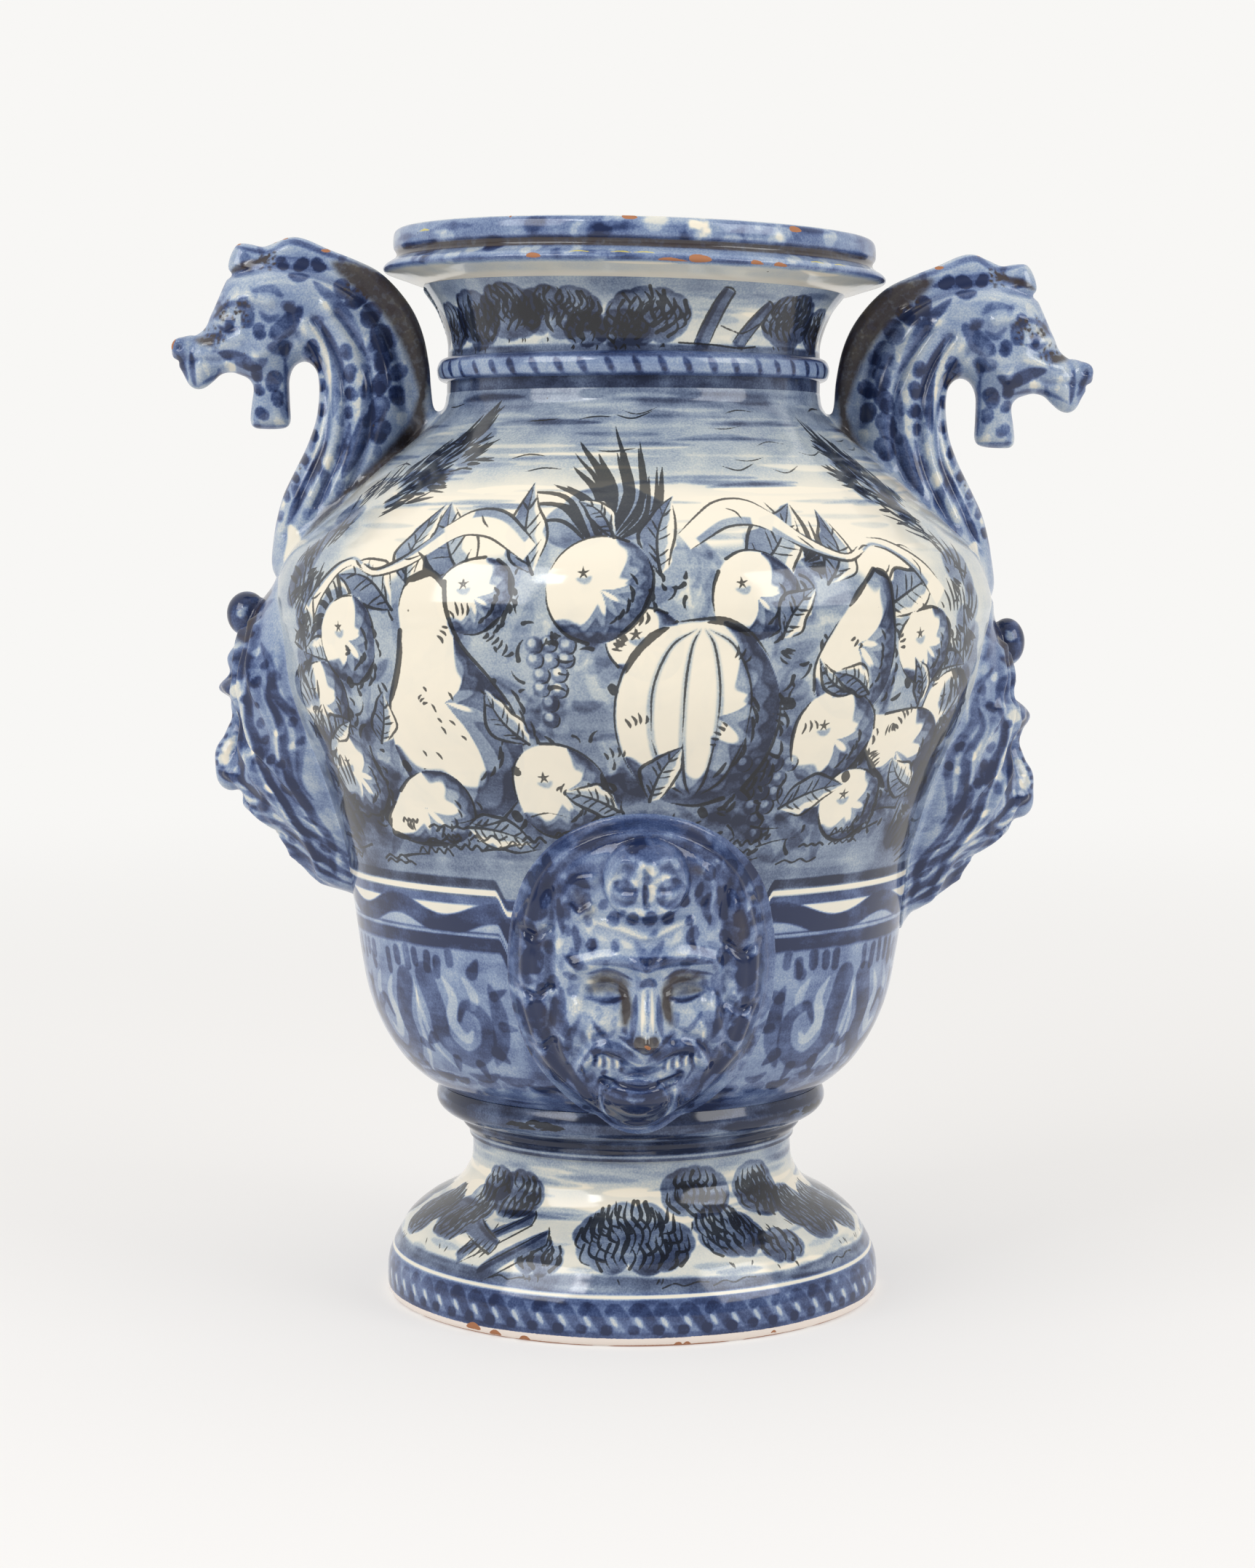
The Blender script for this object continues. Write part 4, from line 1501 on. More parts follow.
def paint_foot(canvas):
    """Bushes and a broken fence on the slope, the rope border and the bare edge with its chips."""
    hand = np.random.default_rng(21)
    level = canvas.level
    canvas.lay(0.6 * ease((level - 20) / 2), "grey")
    canvas.lay(0.09 * ease((46 - level) / 4))
    streaks(canvas, hand, 120, 21, 46, 0.16, 22)
    fade(canvas, 62, 45, 0.18)
    around(canvas, 59.5, 66, 0.18, 2.5, wave=0.6, seed=2)
    streaks(canvas, hand, 90, 43, 64, 0.24, 42)
    ground = ease((26.5 + 1.6 * canvas.waver(8, 2) - level) / 1.6)
    canvas.lay(0.54 * ground)
    streaks(canvas, hand, 60, 19, 27, 0.25, 30)
    bushes = ((0, 25, 50, 26), (-23.5, 24.5, 20, 14), (22, 42, 30, 21), (28, 29, 30, 20), (41, 26, 22, 14),
              (47, 39, 26, 23), (60, 28, 28, 23), (-41, 39, 25, 20), (-57, 29, 28, 22), (-53, 44, 18, 15),
              (-74, 26, 26, 22), (76, 27, 26, 22), (95, 26, 28, 22), (116, 26, 22, 18), (146, 26, 36, 22),
              (168, 27, 24, 18), (-166, 26, 32, 22), (-140, 27, 24, 18), (-118, 26, 30, 21),
              (-95, 27, 26, 19),
              (131, 40, 22, 17), (-152, 40, 22, 17))
    for across, up, wide, tall in bushes:
        bush(canvas, hand, across, up, wide * 1.12, tall * 1.05)
    for across in (-40, 104, -130):
        plank(canvas, hand, across, 25, (-12, 2), (15, 18), 5.4)
        plank(canvas, hand, across, 25, (3, -2), (28, 13), 6.0)
        plank(canvas, hand, across, 25, (-16, 13), (5, 8), 5.0, 0.6)
        for index in range(5):
            comma(canvas, across, 25, (-13 + 3.2 * index, 3.5), (4.0, 6.5), 0.6, 0.55)
    for across in (12, 24, -30, 60, 150, -100):
        canvas.ink(canvas.at(across, 23.4, [(-9, -0.8), (-4, 0.7), (0, -0.3), (5, 0.9), (10, 0.6)]), 0.34,
                   "none")
    band = ease((18.9 - level) / 0.8 + 0.5)
    canvas.wipe(band)
    canvas.lay(0.50 * band)
    around(canvas, 16.2, 18.7, 0.14, 1.0, wave=0.3, seed=6)
    rope(canvas, hand, 11.2, 10.5, 5.5, 0.22)
    around(canvas, 3.6, 6.0, 0.26, 1.0, wave=0.25, seed=7)
    line = ease((0.75 - np.abs(level - 19.7 - 0.25 * canvas.waver(9))) / 0.5 + 0.5)
    canvas.wipe(0.96 * line)
    canvas.mark["line"][level < 20.4] = UNPAINTED
    edge = 3.7 + 0.35 * canvas.waver(10, 2)
    canvas.mark["bare"] = (edge - level).astype(np.float32)
    for angle, up, half in ((-38, 2.6, 2.4), (-32, 1.6, 1.8), (-24.5, 1.2, 1.5), (10, 0.9, 1.2),
                            (12, 1.0, 1.0),
                            (33, 1.8, 0.9), (95, 2, 2.0), (150, 1.5, 1.6), (-160, 1.5, 2.2),
                            (-110, 2, 1.6)):
        canvas.ink(canvas.at(angle, up, [(-1.6 * half, -0.4), (0, 0.4), (1.5 * half, -0.5)]), half * 0.62,
                   mark="chip")
    chipped_edge(canvas, 0.2, 0.5, 15)


def paint_neck(canvas):
    """Bushes and a broken fence under a pale sky."""
    hand = np.random.default_rng(31)
    canvas.lay(0.6, "grey")
    canvas.lay(0.12)
    streaks(canvas, hand, 90, 388, 408, 0.16, 24)
    fade(canvas, 415, 404, 0.26)
    streaks(canvas, hand, 40, 402, 414, 0.14, 36)
    for across, up, wide, tall in ((-68, 391, 22, 20), (-53, 391, 27, 24), (-38, 394, 30, 23),
                                   (-22, 394, 34, 22),
                                   (-14, 391, 18, 14), (4, 391.5, 32, 24), (-4, 391, 22, 15),
                                   (52, 391.5, 32, 24),
                                   (69, 391, 22, 20), (88, 391, 26, 20), (108, 391, 26, 22),
                                   (128, 392, 28, 22),
                                   (157, 391, 28, 22), (-170, 391, 24, 18), (-150, 392, 28, 22),
                                   (-128, 391, 24, 19),
                                   (-106, 391, 28, 22), (-84, 391, 24, 20)):
        bush(canvas, hand, across, up, wide * 1.05, tall)
    for across in (22, 175):
        plank(canvas, hand, across, 392, (-3, 0), (5.5, 22), 6.0)
        plank(canvas, hand, across, 392, (13, 0), (26, 17), 5.4)
        canvas.ink(canvas.at(across, 392, [(5, 8), (11, 6.0), (16, 5.5), (24, 10)]), 0.36, "none")
        canvas.ink(canvas.at(across, 392, [(-12, 1), (2, 0.4), (14, -0.6), (22, 0.2)]), 0.42, "none")
    around(canvas, 388, 392.4, 0.55, 1.6, wave=0.3, seed=8)
    around(canvas, 375, 381.5, 0.66, 1.0)


def paint_bead(canvas):
    """Slanted dabs all round the cordon."""
    hand = np.random.default_rng(41)
    canvas.lay(0.37)
    around(canvas, 387.6, 391, 0.34, 1.2, wave=0.3, seed=3)
    around(canvas, 379, 381.4, 0.30, 1.2, wave=0.3, seed=4)
    for index in range(49):
        angle = 360 * index / 49 + hand.uniform(-0.6, 0.6)
        length = hand.uniform(2.2, 3.0)
        canvas.brush(canvas.at(angle, 384.6, [(-1.2, length), (0.3, 0), (1.5, -length)]),
                     hand.uniform(1.2, 1.8), 0.42, 1.0)
        canvas.brush(canvas.at(angle, 384.6, [(1.0, -length * 0.8), (1.8, -length)]), 1.3, 0.25, 0.8,
                     "none")


def paint_rim(canvas):
    """A dappled blue rim with its brown band, its chips and its yellow spots."""
    hand = np.random.default_rng(51)
    level = canvas.level
    outer = np.hypot(canvas.points[:, 0], canvas.points[:, 1])
    canvas.lay(0.36 * ease((level - 422.3) / 1.2))
    canvas.lay(0.10 * ease((level - 418) / 2))
    streaks(canvas, hand, 90, 422, 439, 0.26, 26)
    for _ in range(90):
        canvas.blobs(hand.uniform(-180, 180), hand.uniform(424, 438),
                     [(0, 0, hand.uniform(2, 4)), (3, 1, 2.2)], hand.choice((-0.20, 0.22)), 2.0)
    around(canvas, 424.6, 427.5, -0.10, 1.5, wave=0.6, seed=61)
    around(canvas, 422.2, 423.8, 0.22, 1.0, wave=0.3, seed=62)
    around(canvas, 427.9, 431.2, 0.95, 0.9, "brown", wave=0.35, seed=63)
    around(canvas, 431.0, 432.4, 0.25, 1.0, wave=0.4, seed=64)
    canvas.wipe(0.75 * ease((level - 439.2) / 0.6) * (outer < 99))
    for angle, up, wide, half in ((-31, 439.6, 3.2, 1.0), (-4.5, 439.8, 4.6, 0.9), (-7.5, 439.8, 3.8, 0.8),
                                  (-1.2, 439.3, 2.4, 1.6), (39, 437.8, 2.6, 1.3), (-22, 424.0, 2.6, 1.1),
                                  (14.0, 423.8, 3.6, 1.9), (8, 423.0, 5.0, 0.7), (27, 423.4, 2.4, 0.9),
                                  (33, 423.2, 2.8, 0.9), (110, 439.4, 3, 1.2), (160, 424, 3.4, 1.4),
                                  (-120, 439.5, 4, 1.0), (-150, 424, 3, 1.0)):
        canvas.ink(canvas.at(angle, up, [(-wide, 0), (-0.3 * wide, 0.3), (wide, -0.2)]), half, mark="chip")
    for angle in (-12, -3, 2, 44, 52, -57, 130, -140):
        up = 425.6 if angle > -50 else 436
        canvas.ink(canvas.at(angle, up, [(-3.6, 0), (0, 0.35), (3.6, -0.1)]), 0.42, mark="yellow")


# Marks on a dragon, in its own plane: a path, half its width and how much colour it lays.
DRAGON_STROKES = (
    (((166, 433), (150, 430), (141, 434.5), (126, 429.5), (114, 425.5)), 1.3, 0.30),
    (((114, 425.5), (102, 417.5), (92, 407), (86, 394), (84.5, 376)), 2.4, 0.40),
    (((163.5, 422.5), (150, 426), (134, 424.5), (124, 423)), 2.6, 0.26),
    (((141, 420.4), (137, 419.2), (133, 419.6)), 1.9, 0.46),
    (((130.7, 417.5), (122, 408.9), (115.3, 399.2), (109.5, 387.6)), 3.0, 0.40),
    (((127.8, 401.1), (122, 387.6), (121.1, 375.1), (123, 362.5)), 2.6, 0.40),
    (((109.5, 379.9), (109, 362), (114.5, 348), (119.2, 337.4)), 3.2, 0.42),
    (((116, 360), (118, 348), (124, 338)), 1.6, 0.30),
    (((126, 352), (131, 341), (137, 330), (143, 318)), 2.6, 0.34),
    (((130, 345), (126, 334), (133, 322)), 2.2, 0.30),
    (((150.5, 312), (147.5, 326), (141, 339)), 1.6, 0.34),
    (((135.5, 406.9), (142.2, 399.2), (148, 395.3)), 4.0, 0.38),
    (((149, 390.8), (145.1, 390.5), (140, 392)), 2.8, 0.34),
    (((170.1, 388.6), (163.4, 386.7), (155.7, 383.8), (149.9, 385.7)), 2.8, 0.42),
    (((182.1, 389.6), (181.8, 382), (181.1, 375)), 1.4, 0.44),
    (((188, 388), (186, 383), (184, 378)), 1.3, 0.34),
    (((180, 375.2), (172, 379.2), (164, 380.2), (156, 378.6)), 1.0, 0.30),
    (((170.5, 399.5), (166, 397.6), (161, 398.8)), 1.1, 0.40),
    (((172.5, 403), (168, 407.4), (161, 408.6), (155, 406)), 1.2, 0.40),
    (((176.5, 403), (172.5, 411), (168, 418)), 1.2, 0.30),
    (((156, 413.5), (148, 414.5), (143, 411)), 1.6, 0.24),
    (((153, 405.5), (149, 402), (144, 404)), 1.4, 0.28),
    (((143, 358.8), (150, 357.8), (157.6, 359.2)), 1.2, 0.36),
    (((143.2, 386), (142.8, 374), (142.6, 362)), 1.2, 0.30),
    (((176.8, 396), (171, 395.5), (166.5, 394)), 1.3, 0.26),
)
DRAGON_WIPES = (
    (((129, 412), (121, 404), (114.5, 393)), 1.0, -0.14),
    (((133.5, 403), (127, 391), (124.5, 378)), 1.1, -0.16),
    (((124.8, 389), (124.6, 372), (129.5, 352), (137, 334)), 1.0, -0.16),
    (((106.5, 384), (106, 366), (110, 350)), 0.9, -0.16),
    (((152, 416.5), (144, 417.5), (136, 416)), 1.0, -0.12),
    (((141.5, 318), (139.5, 311), (143, 303)), 3.2, -0.30),
    (((160, 392), (168, 391), (175, 390)), 1.2, -0.12),
)
DRAGON_DROPS = (
    (144.1, 425.2, 2.4), (136.5, 424.6, 2.6), (129.2, 424.6, 2.6), (119.2, 414.6, 3.4),
    (113.4, 410.8, 3.9), (107.6, 404.0, 4.2), (103.2, 394.6, 4.4), (102.6, 385.0, 3.8),
    (96.8, 380.6, 3.2), (103.4, 375.6, 3.8), (97.0, 371.0, 3.2), (104.2, 365.6, 4.2), (103.8, 356.2, 4.0),
    (117.2, 388.6, 2.7), (115.8, 379.9, 2.9), (115.3, 371.6, 2.5), (116.6, 364.0, 2.0),
    (130.7, 391.0, 2.4), (130.6, 384.4, 2.9), (128.6, 375.6, 2.1), (128.3, 365.4, 2.2),
    (131.4, 354.8, 2.1), (135.7, 345.2, 2.0), (139.4, 337.6, 1.9), (143.2, 329.8, 1.9),
    (145.8, 321.6, 1.8), (157.6, 402.1, 3.0), (152.8, 397.0, 2.7), (159.5, 408.4, 2.4),
    (165.2, 400.6, 2.2), (154.7, 380.2, 2.7), (154.2, 373.6, 2.2), (148, 377, 3.4), (146.5, 370.0, 2.6),
    (153.0, 363.8, 2.5), (136.5, 371.0, 0.8),
)
DRAGON_BROWNS = (
    (((123, 425.3), (114.3, 421), (103.7, 414.4), (94.5, 403), (88.5, 388), (86.4, 371)), 6.2, 0.95, 3.6),
    (((87.4, 372), (89, 359.6), (95.1, 349.9), (104.7, 340.3), (118.1, 331.6)), 4.2, 0.95, 3.4),
    (((117, 332), (127, 321), (137, 307)), 2.4, 0.75, 2.6),
    (((166.2, 421.8), (159.5, 424.8), (149.9, 426.6)), 1.5, 0.85, 1.6),
    (((180.5, 394.2), (176.5, 393.6), (172.5, 392.0)), 1.8, 0.85, 2.2),
    (((170, 407), (167, 402.5)), 2.2, 0.45, 3.0),
    (((131, 384.6), (130.4, 383)), 1.2, 0.7, 1.4),
    (((126, 352), (132, 342)), 2.4, 0.30, 3.0),
)


# Where a dragon's crest keeps its three dots clear of other marks, and where brown is spattered.
CREST_DOTS = (122, 152, 414)
DRAGON_SPATTERS = ((172, 395, 5), (162, 405, 6), (140, 344, 5), (150, 427, 4), (112, 417, 6))
DRAGON_CHIPS = ((126.5, 430.6), (144, 436.0), (148.5, 434.6), (163.5, 433.6))


def paint_dragon(canvas):
    """Dark drops and strokes over a thin blue, with brown rubbed along the back and the root."""
    hand = np.random.default_rng(61)
    canvas.lay(0.33)
    for path, half, tone in DRAGON_STROKES:
        canvas.brush(path, half * hand.uniform(0.92, 1.08), tone, 1.1)
    for _ in range(150):
        x, z = hand.uniform(88, 176), hand.uniform(316, 434)
        turn = hand.uniform(-0.5, 0.5) + (math.pi / 2 if z < 396 else hand.uniform(0, math.pi))
        dx, dz = hand.uniform(1.5, 4) * math.cos(turn), hand.uniform(2, 4.5) * math.sin(turn)
        bend, half, tone = hand.uniform(-1, 1), hand.uniform(1.0, 2.4), hand.choice((0.16, 0.22, -0.14))
        if not (CREST_DOTS[0] < x < CREST_DOTS[1] and z > CREST_DOTS[2]):
            canvas.brush([(x - dx, z - dz), (x + bend, z), (x + dx, z + dz)], half, tone, 0.8)
    for path, half, tone in DRAGON_WIPES:
        canvas.brush(path, half, tone, 1.3)
    for x, z, size in DRAGON_DROPS:
        turn = hand.uniform(0.6, 2.6)
        dx, dz = 0.42 * size * math.cos(turn), 0.42 * size * math.sin(turn)
        size *= 1.20
        canvas.blobs(x, z, [(dx, dz, 0.80 * size), (-dx, -dz, 0.74 * size), (dz, -dx, 0.5 * size)], 0.46,
                     0.8)
        canvas.blobs(x + 0.3, z - 0.3 * size, [(0, 0, size * 0.55)], 0.16, 1.3)
    strokes(canvas, DRAGON_BROWNS, "brown")
    for x, z, reach in DRAGON_SPATTERS:
        for _ in range(34):
            a, b = x + hand.normal(0, reach / 2), z + hand.normal(0, reach / 2)
            canvas.blobs(a, b, [(0, 0, hand.uniform(0.25, 0.8))], 0.8, 0.5, "brown")
    canvas.ink([(190.6, 390.4), (190.8, 393.4), (188.6, 396.2)], 1.7, mark="chip")
    canvas.lay(0.25 * ease((canvas.points[:, 0] - 183) / 3))
    for x, z in DRAGON_CHIPS:
        canvas.ink([(x - 1.8, z), (x + 1.8, z + 0.3)], 0.8, mark="chip")


def dapple(canvas, hand, count, low, high, tone, half):
    """Short brush marks scattered over a relief, following whatever is up and down."""
    for _ in range(count):
        x, z = hand.uniform(low[0], high[0]), hand.uniform(low[1], high[1])
        turn = hand.uniform(-0.9, 0.9) + math.pi / 2
        length = hand.uniform(3, 7)
        a, b = towards(turn, length)
        path = [(x, z), (x + 0.5 * a + 0.6, z + 0.5 * b), (x + a, z + b)]
        canvas.brush(path, half * hand.uniform(0.7, 1.2), tone * hand.uniform(0.5, 1.1), 1.2)


FRONT_STROKES = (
    (((-21, 73.5), (-10, 75), (2, 74), (14, 74.5), (28, 73.5)), 2.6, 0.44),
    (((-2, 82.5), (3.2, 76), (9, 82.5)), 2.2, 0.26),
    (((-17, 89.5), (-8, 87.5), (3, 84), (12, 87.5), (16, 89)), 0.81, -0.14),
    (((-10, 94.5), (2.4, 92.5), (15, 95)), 0.9, -0.13), (((-20, 69), (-12, 71), (-3, 67.5)), 0.9, 0.5),
    (((9, 67), (16, 70), (28, 68.5)), 0.9, 0.5), (((-21, 60), (-13, 57.5), (-5, 60.5)), 0.8, 0.35),
    (((10, 60.5), (17, 58), (25, 61.5)), 0.8, 0.35), (((-21, 65.5), (-15, 66)), 0.9, -0.10),
    (((20, 65.5), (26, 66.5)), 0.9, -0.10), (((0.4, 65), (3.2, 67), (6.4, 65)), 1.8, 0.48),
    (((2.9, 64), (2.9, 48.5)), 0.9, 0.37), (((1.1, 63.5), (0.9, 54.5), (0.6, 47)), 0.63, -0.26),
    (((4.5, 63.5), (4.7, 54.5), (5.1, 47)), 0.63, -0.26),
    (((-1.4, 61.5), (-2.2, 52), (-2.9, 44)), 1.3, 0.45), (((7.1, 61.5), (7.6, 52), (8.6, 45)), 1.3, 0.45),
    (((-8, 45), (-3, 42), (2.4, 38)), 1.0, 0.5), (((12.5, 45), (8, 42), (2.6, 38)), 1.0, 0.5),
    (((-21, 34.5), (-15, 40), (-7, 39), (1, 34)), 2.8, 0.39),
    (((24, 35.5), (17, 40.5), (9, 39), (3, 34)), 2.8, 0.37),
    (((-9, 30.5), (0, 30), (10, 31.5)), 2.2, 0.32),
    (((-14, 28), (-8, 25), (1, 23.5), (9, 25.5), (16, 28.5)), 0.8, 0.67),
    (((-14.5, 28.5), (-12.5, 30)), 1.0, 0.43), (((16.5, 29), (14.5, 30.5)), 1.0, 0.43),
    (((-13.4, 21), (-13.4, 13), (-9, 6.5), (0, 4.5), (9, 6.5), (12.8, 13), (12.4, 21)), 0.63, -0.15),
    (((-16, 18.5), (-15, 10), (-9, 4), (0, 2.5), (10, 4.5), (15.4, 10.5), (15.6, 18.5)), 1.2, 0.39),
    (((-31, 98), (-30, 90), (-29, 84.5)), 1.3, 0.43), (((-25, 88), (-24, 83), (-23.5, 77.5)), 1.5, 0.43),
    (((-29, 76), (-24, 73), (-20, 71.5)), 2, 0.37), (((-29, 69), (-24, 67)), 1.6, 0.37),
    (((-30, 63), (-31, 52), (-27, 43)), 3.4, 0.35), (((-23, 52), (-27, 43), (-26, 35.5)), 1.6, 0.32),
    (((-18, 51), (-13, 45), (-9, 47.5)), 1.4, 0.28), (((-31, 37.5), (-28, 30), (-22, 22)), 2.4, 0.39),
    (((-26, 28), (-20, 17.5), (-14, 7.5)), 1.6, 0.32), (((-22, 43), (-19, 41.5)), 0.9, -0.13),
    (((30, 61.5), (31, 52), (28, 43)), 2, 0.37), (((24, 54.5), (19, 47.5), (14, 48.5)), 1.2, 0.3),
    (((30, 39.5), (29, 31.5), (24, 24)), 2.2, 0.37), (((25, 24), (20, 13.5), (13, 7)), 1.8, 0.32),
    (((22, 43), (26, 37.5), (28, 31.5)), 1.3, 0.3), (((20, 88), (19, 83), (21, 79)), 1.5, 0.39),
    (((27, 100.5), (25, 95.5), (27, 88)), 1.7, 0.41), (((23.5, 104.5), (22, 99)), 1.5, 0.43),
    (((27.6, 95.5), (28.6, 102.5), (26, 108.5)), 0.81, -0.14), (((24, 93.5), (24.8, 98)), 0.72, -0.14),
    (((-28, 104.5), (-24, 106), (-19, 102.5)), 2.2, 0.32),
    (((-27, 97), (-23, 93.5), (-20, 96)), 1.0, 0.39), (((-26, 101.5), (-24, 98)), 1.35, -0.15),
    (((-30, 95.5), (-28, 99.5)), 0.99, -0.13), (((-20, 97), (-16, 92.5), (-12, 91)), 1.26, -0.09),
    (((13, 81.5), (16, 86.5)), 1.62, -0.14), (((-7, 82.5), (-3, 80)), 1.26, -0.14),
    (((-17, 84.5), (-13, 82.5)), 1.26, -0.11), (((-22, 54.5), (-15, 53.5)), 1.44, -0.08),
    (((14, 54.5), (22, 53.5), (24, 47.5)), 1.53, -0.09), (((-12, 51), (-7, 49.5)), 1.08, -0.08),
    (((-33, 97), (-31, 81.5), (-32, 61.5)), 0.9, -0.13),
    (((31.5, 84.5), (31, 66), (32.5, 54.5)), 0.81, -0.13), (((-31, 33.5), (-24, 20)), 1.08, -0.13),
    (((31, 30), (24, 17.5)), 1.08, -0.10), (((-45, 64), (-40, 62), (-35, 64)), 0.81, -0.14),
    (((-46, 84.5), (-40, 82)), 0.72, -0.11), (((36, 61.5), (40, 57), (46, 59.5)), 0.72, -0.13),
    (((-42, 39.5), (-36, 33.5), (-30, 27)), 0.9, -0.11), (((42, 43), (38, 37.5), (33, 31.5)), 0.9, -0.11),
)
FRONT_DABS = (
    (-10.2, 90.5, 2.5), (-3, 91, 2.3), (3.6, 91, 2.7), (10.6, 91, 2.3), (18.8, 89.5, 1.7),
    (-18.6, 80.5, 1.9), (-3.6, 43, 1.2), (9.6, 43.5, 1.2), (-20, 10, 1.6), (21, 10.5, 1.6),
    (-38.5, 104.5, 4), (26.5, 107.5, 2.4), (-40, 51, 4.6), (-41, 72.5, 4.6), (-39.5, 93.5, 4.6),
    (41, 67, 4.2), (38.5, 45, 4.2), (-34, 31.5, 3), (33, 30, 3), (17, 97, 1.8), (-14, 96, 1.8),
)
FRONT_BROWNS = (
    (((-19, 67), (-11, 68.5), (-4, 65)), 2.4, 0.72, 3), (((-7, 65), (-5, 56), (-5.6, 47.5)), 1.9, 0.6, 3),
    (((10, 66), (16, 68), (25, 67)), 2.3, 0.72, 3), (((9.4, 65), (10, 56), (13, 48.5)), 1.8, 0.52, 3),
    (((12, 60.5), (18, 61), (24, 62)), 0.9, 0.5, 1.6),
    (((-24, 100.5), (-21, 95.5), (-19, 91)), 2.6, 0.52, 4),
    (((37, 93.5), (38.5, 86.5), (37, 76)), 3.4, 0.4, 4), (((-38, 88), (-37, 79)), 2.4, 0.34, 3),
    (((-36, 54.5), (-34, 45)), 2, 0.34, 3), (((20, 110), (24, 108.5)), 1.8, 0.6, 2.4),
)


# More strokes on the front mask, each with its own softness: the shell, the brow, the mouth and the chin.
FRONT_TOUCHES = (
    (((-11.5, 99), (-10.5, 106), (-5, 109.5)), 1.0, -0.14, 1.2),
    (((5.5, 97.6), (10, 94.8), (16, 95.6)), 1.0, -0.14, 1.2),
    (((3.4, 104), (7.5, 107.5), (13.5, 108.2)), 1.0, -0.14, 1.2),
    (((-2.4, 96.4), (0.4, 94), (2.0, 92.8)), 1.0, -0.14, 1.2),
    (((1.6, 97), (1.9, 101), (1.4, 105)), 1.2, 0.40, 1.0),
    (((-14.5, 110), (-13, 101), (-7, 94), (2.4, 91.4), (12, 94), (18, 101), (19, 110)), 1.2, 0.26, 1.4),
    (((-28, 114), (-14, 124), (2, 126.6), (18, 124), (31, 113)), 2.6, 0.30, 1.6),
    (((-9, 9.5), (-1, 5.6), (7, 9)), 1.8, 0.24, 1.6),
    (((-15, 25), (-14.6, 15), (-9, 4.6), (-1, 1.6), (8, 4.2), (13.4, 14), (14, 24)), 0.8, -0.34, 1.2),
    (((-20, 25), (-22, 33), (-17, 39), (-8, 36), (1, 31), (10, 36), (18, 38.5), (21, 32), (18, 25)), 1.1,
     0.40, 1.0),
    (((-15, 25.5), (-10, 22.6), (0, 20.6), (9, 22.2), (15, 25)), 0.9, 0.44, 0.9),
    (((-16, 23.6), (-11, 20.4), (0, 18.4), (10, 20), (15.6, 23)), 0.6, -0.22, 0.9),
)
# Patches on the front mask: place, lobes, tone and softness.
FRONT_PATCHES = (
    (-6.4, 101.5, ((0, 0, 5.4), (-1.5, 1.5, 3.6)), 0.34, 1.2),
    (12.0, 101.0, ((0, 0, 6.2), (2.0, -1.5, 4.0)), 0.34, 1.2),
    (2.6, 110.4, ((-1.6, 0, 2.6), (1.6, 0.3, 2.6)), -0.20, 1.3),
    (-3.2, 119.6, ((0, 0, 3.0), (3, 1, 2.2)), 0.34, 1.2), (-1.0, 15.0, ((0, 0, 12.4),), 0.50, 1.8),
    (-1.0, 18.4, ((0, 0, 2.6), (-2.2, 1.4, 1.9), (1.8, 1.2, 1.7)), -0.34, 1.2),
)


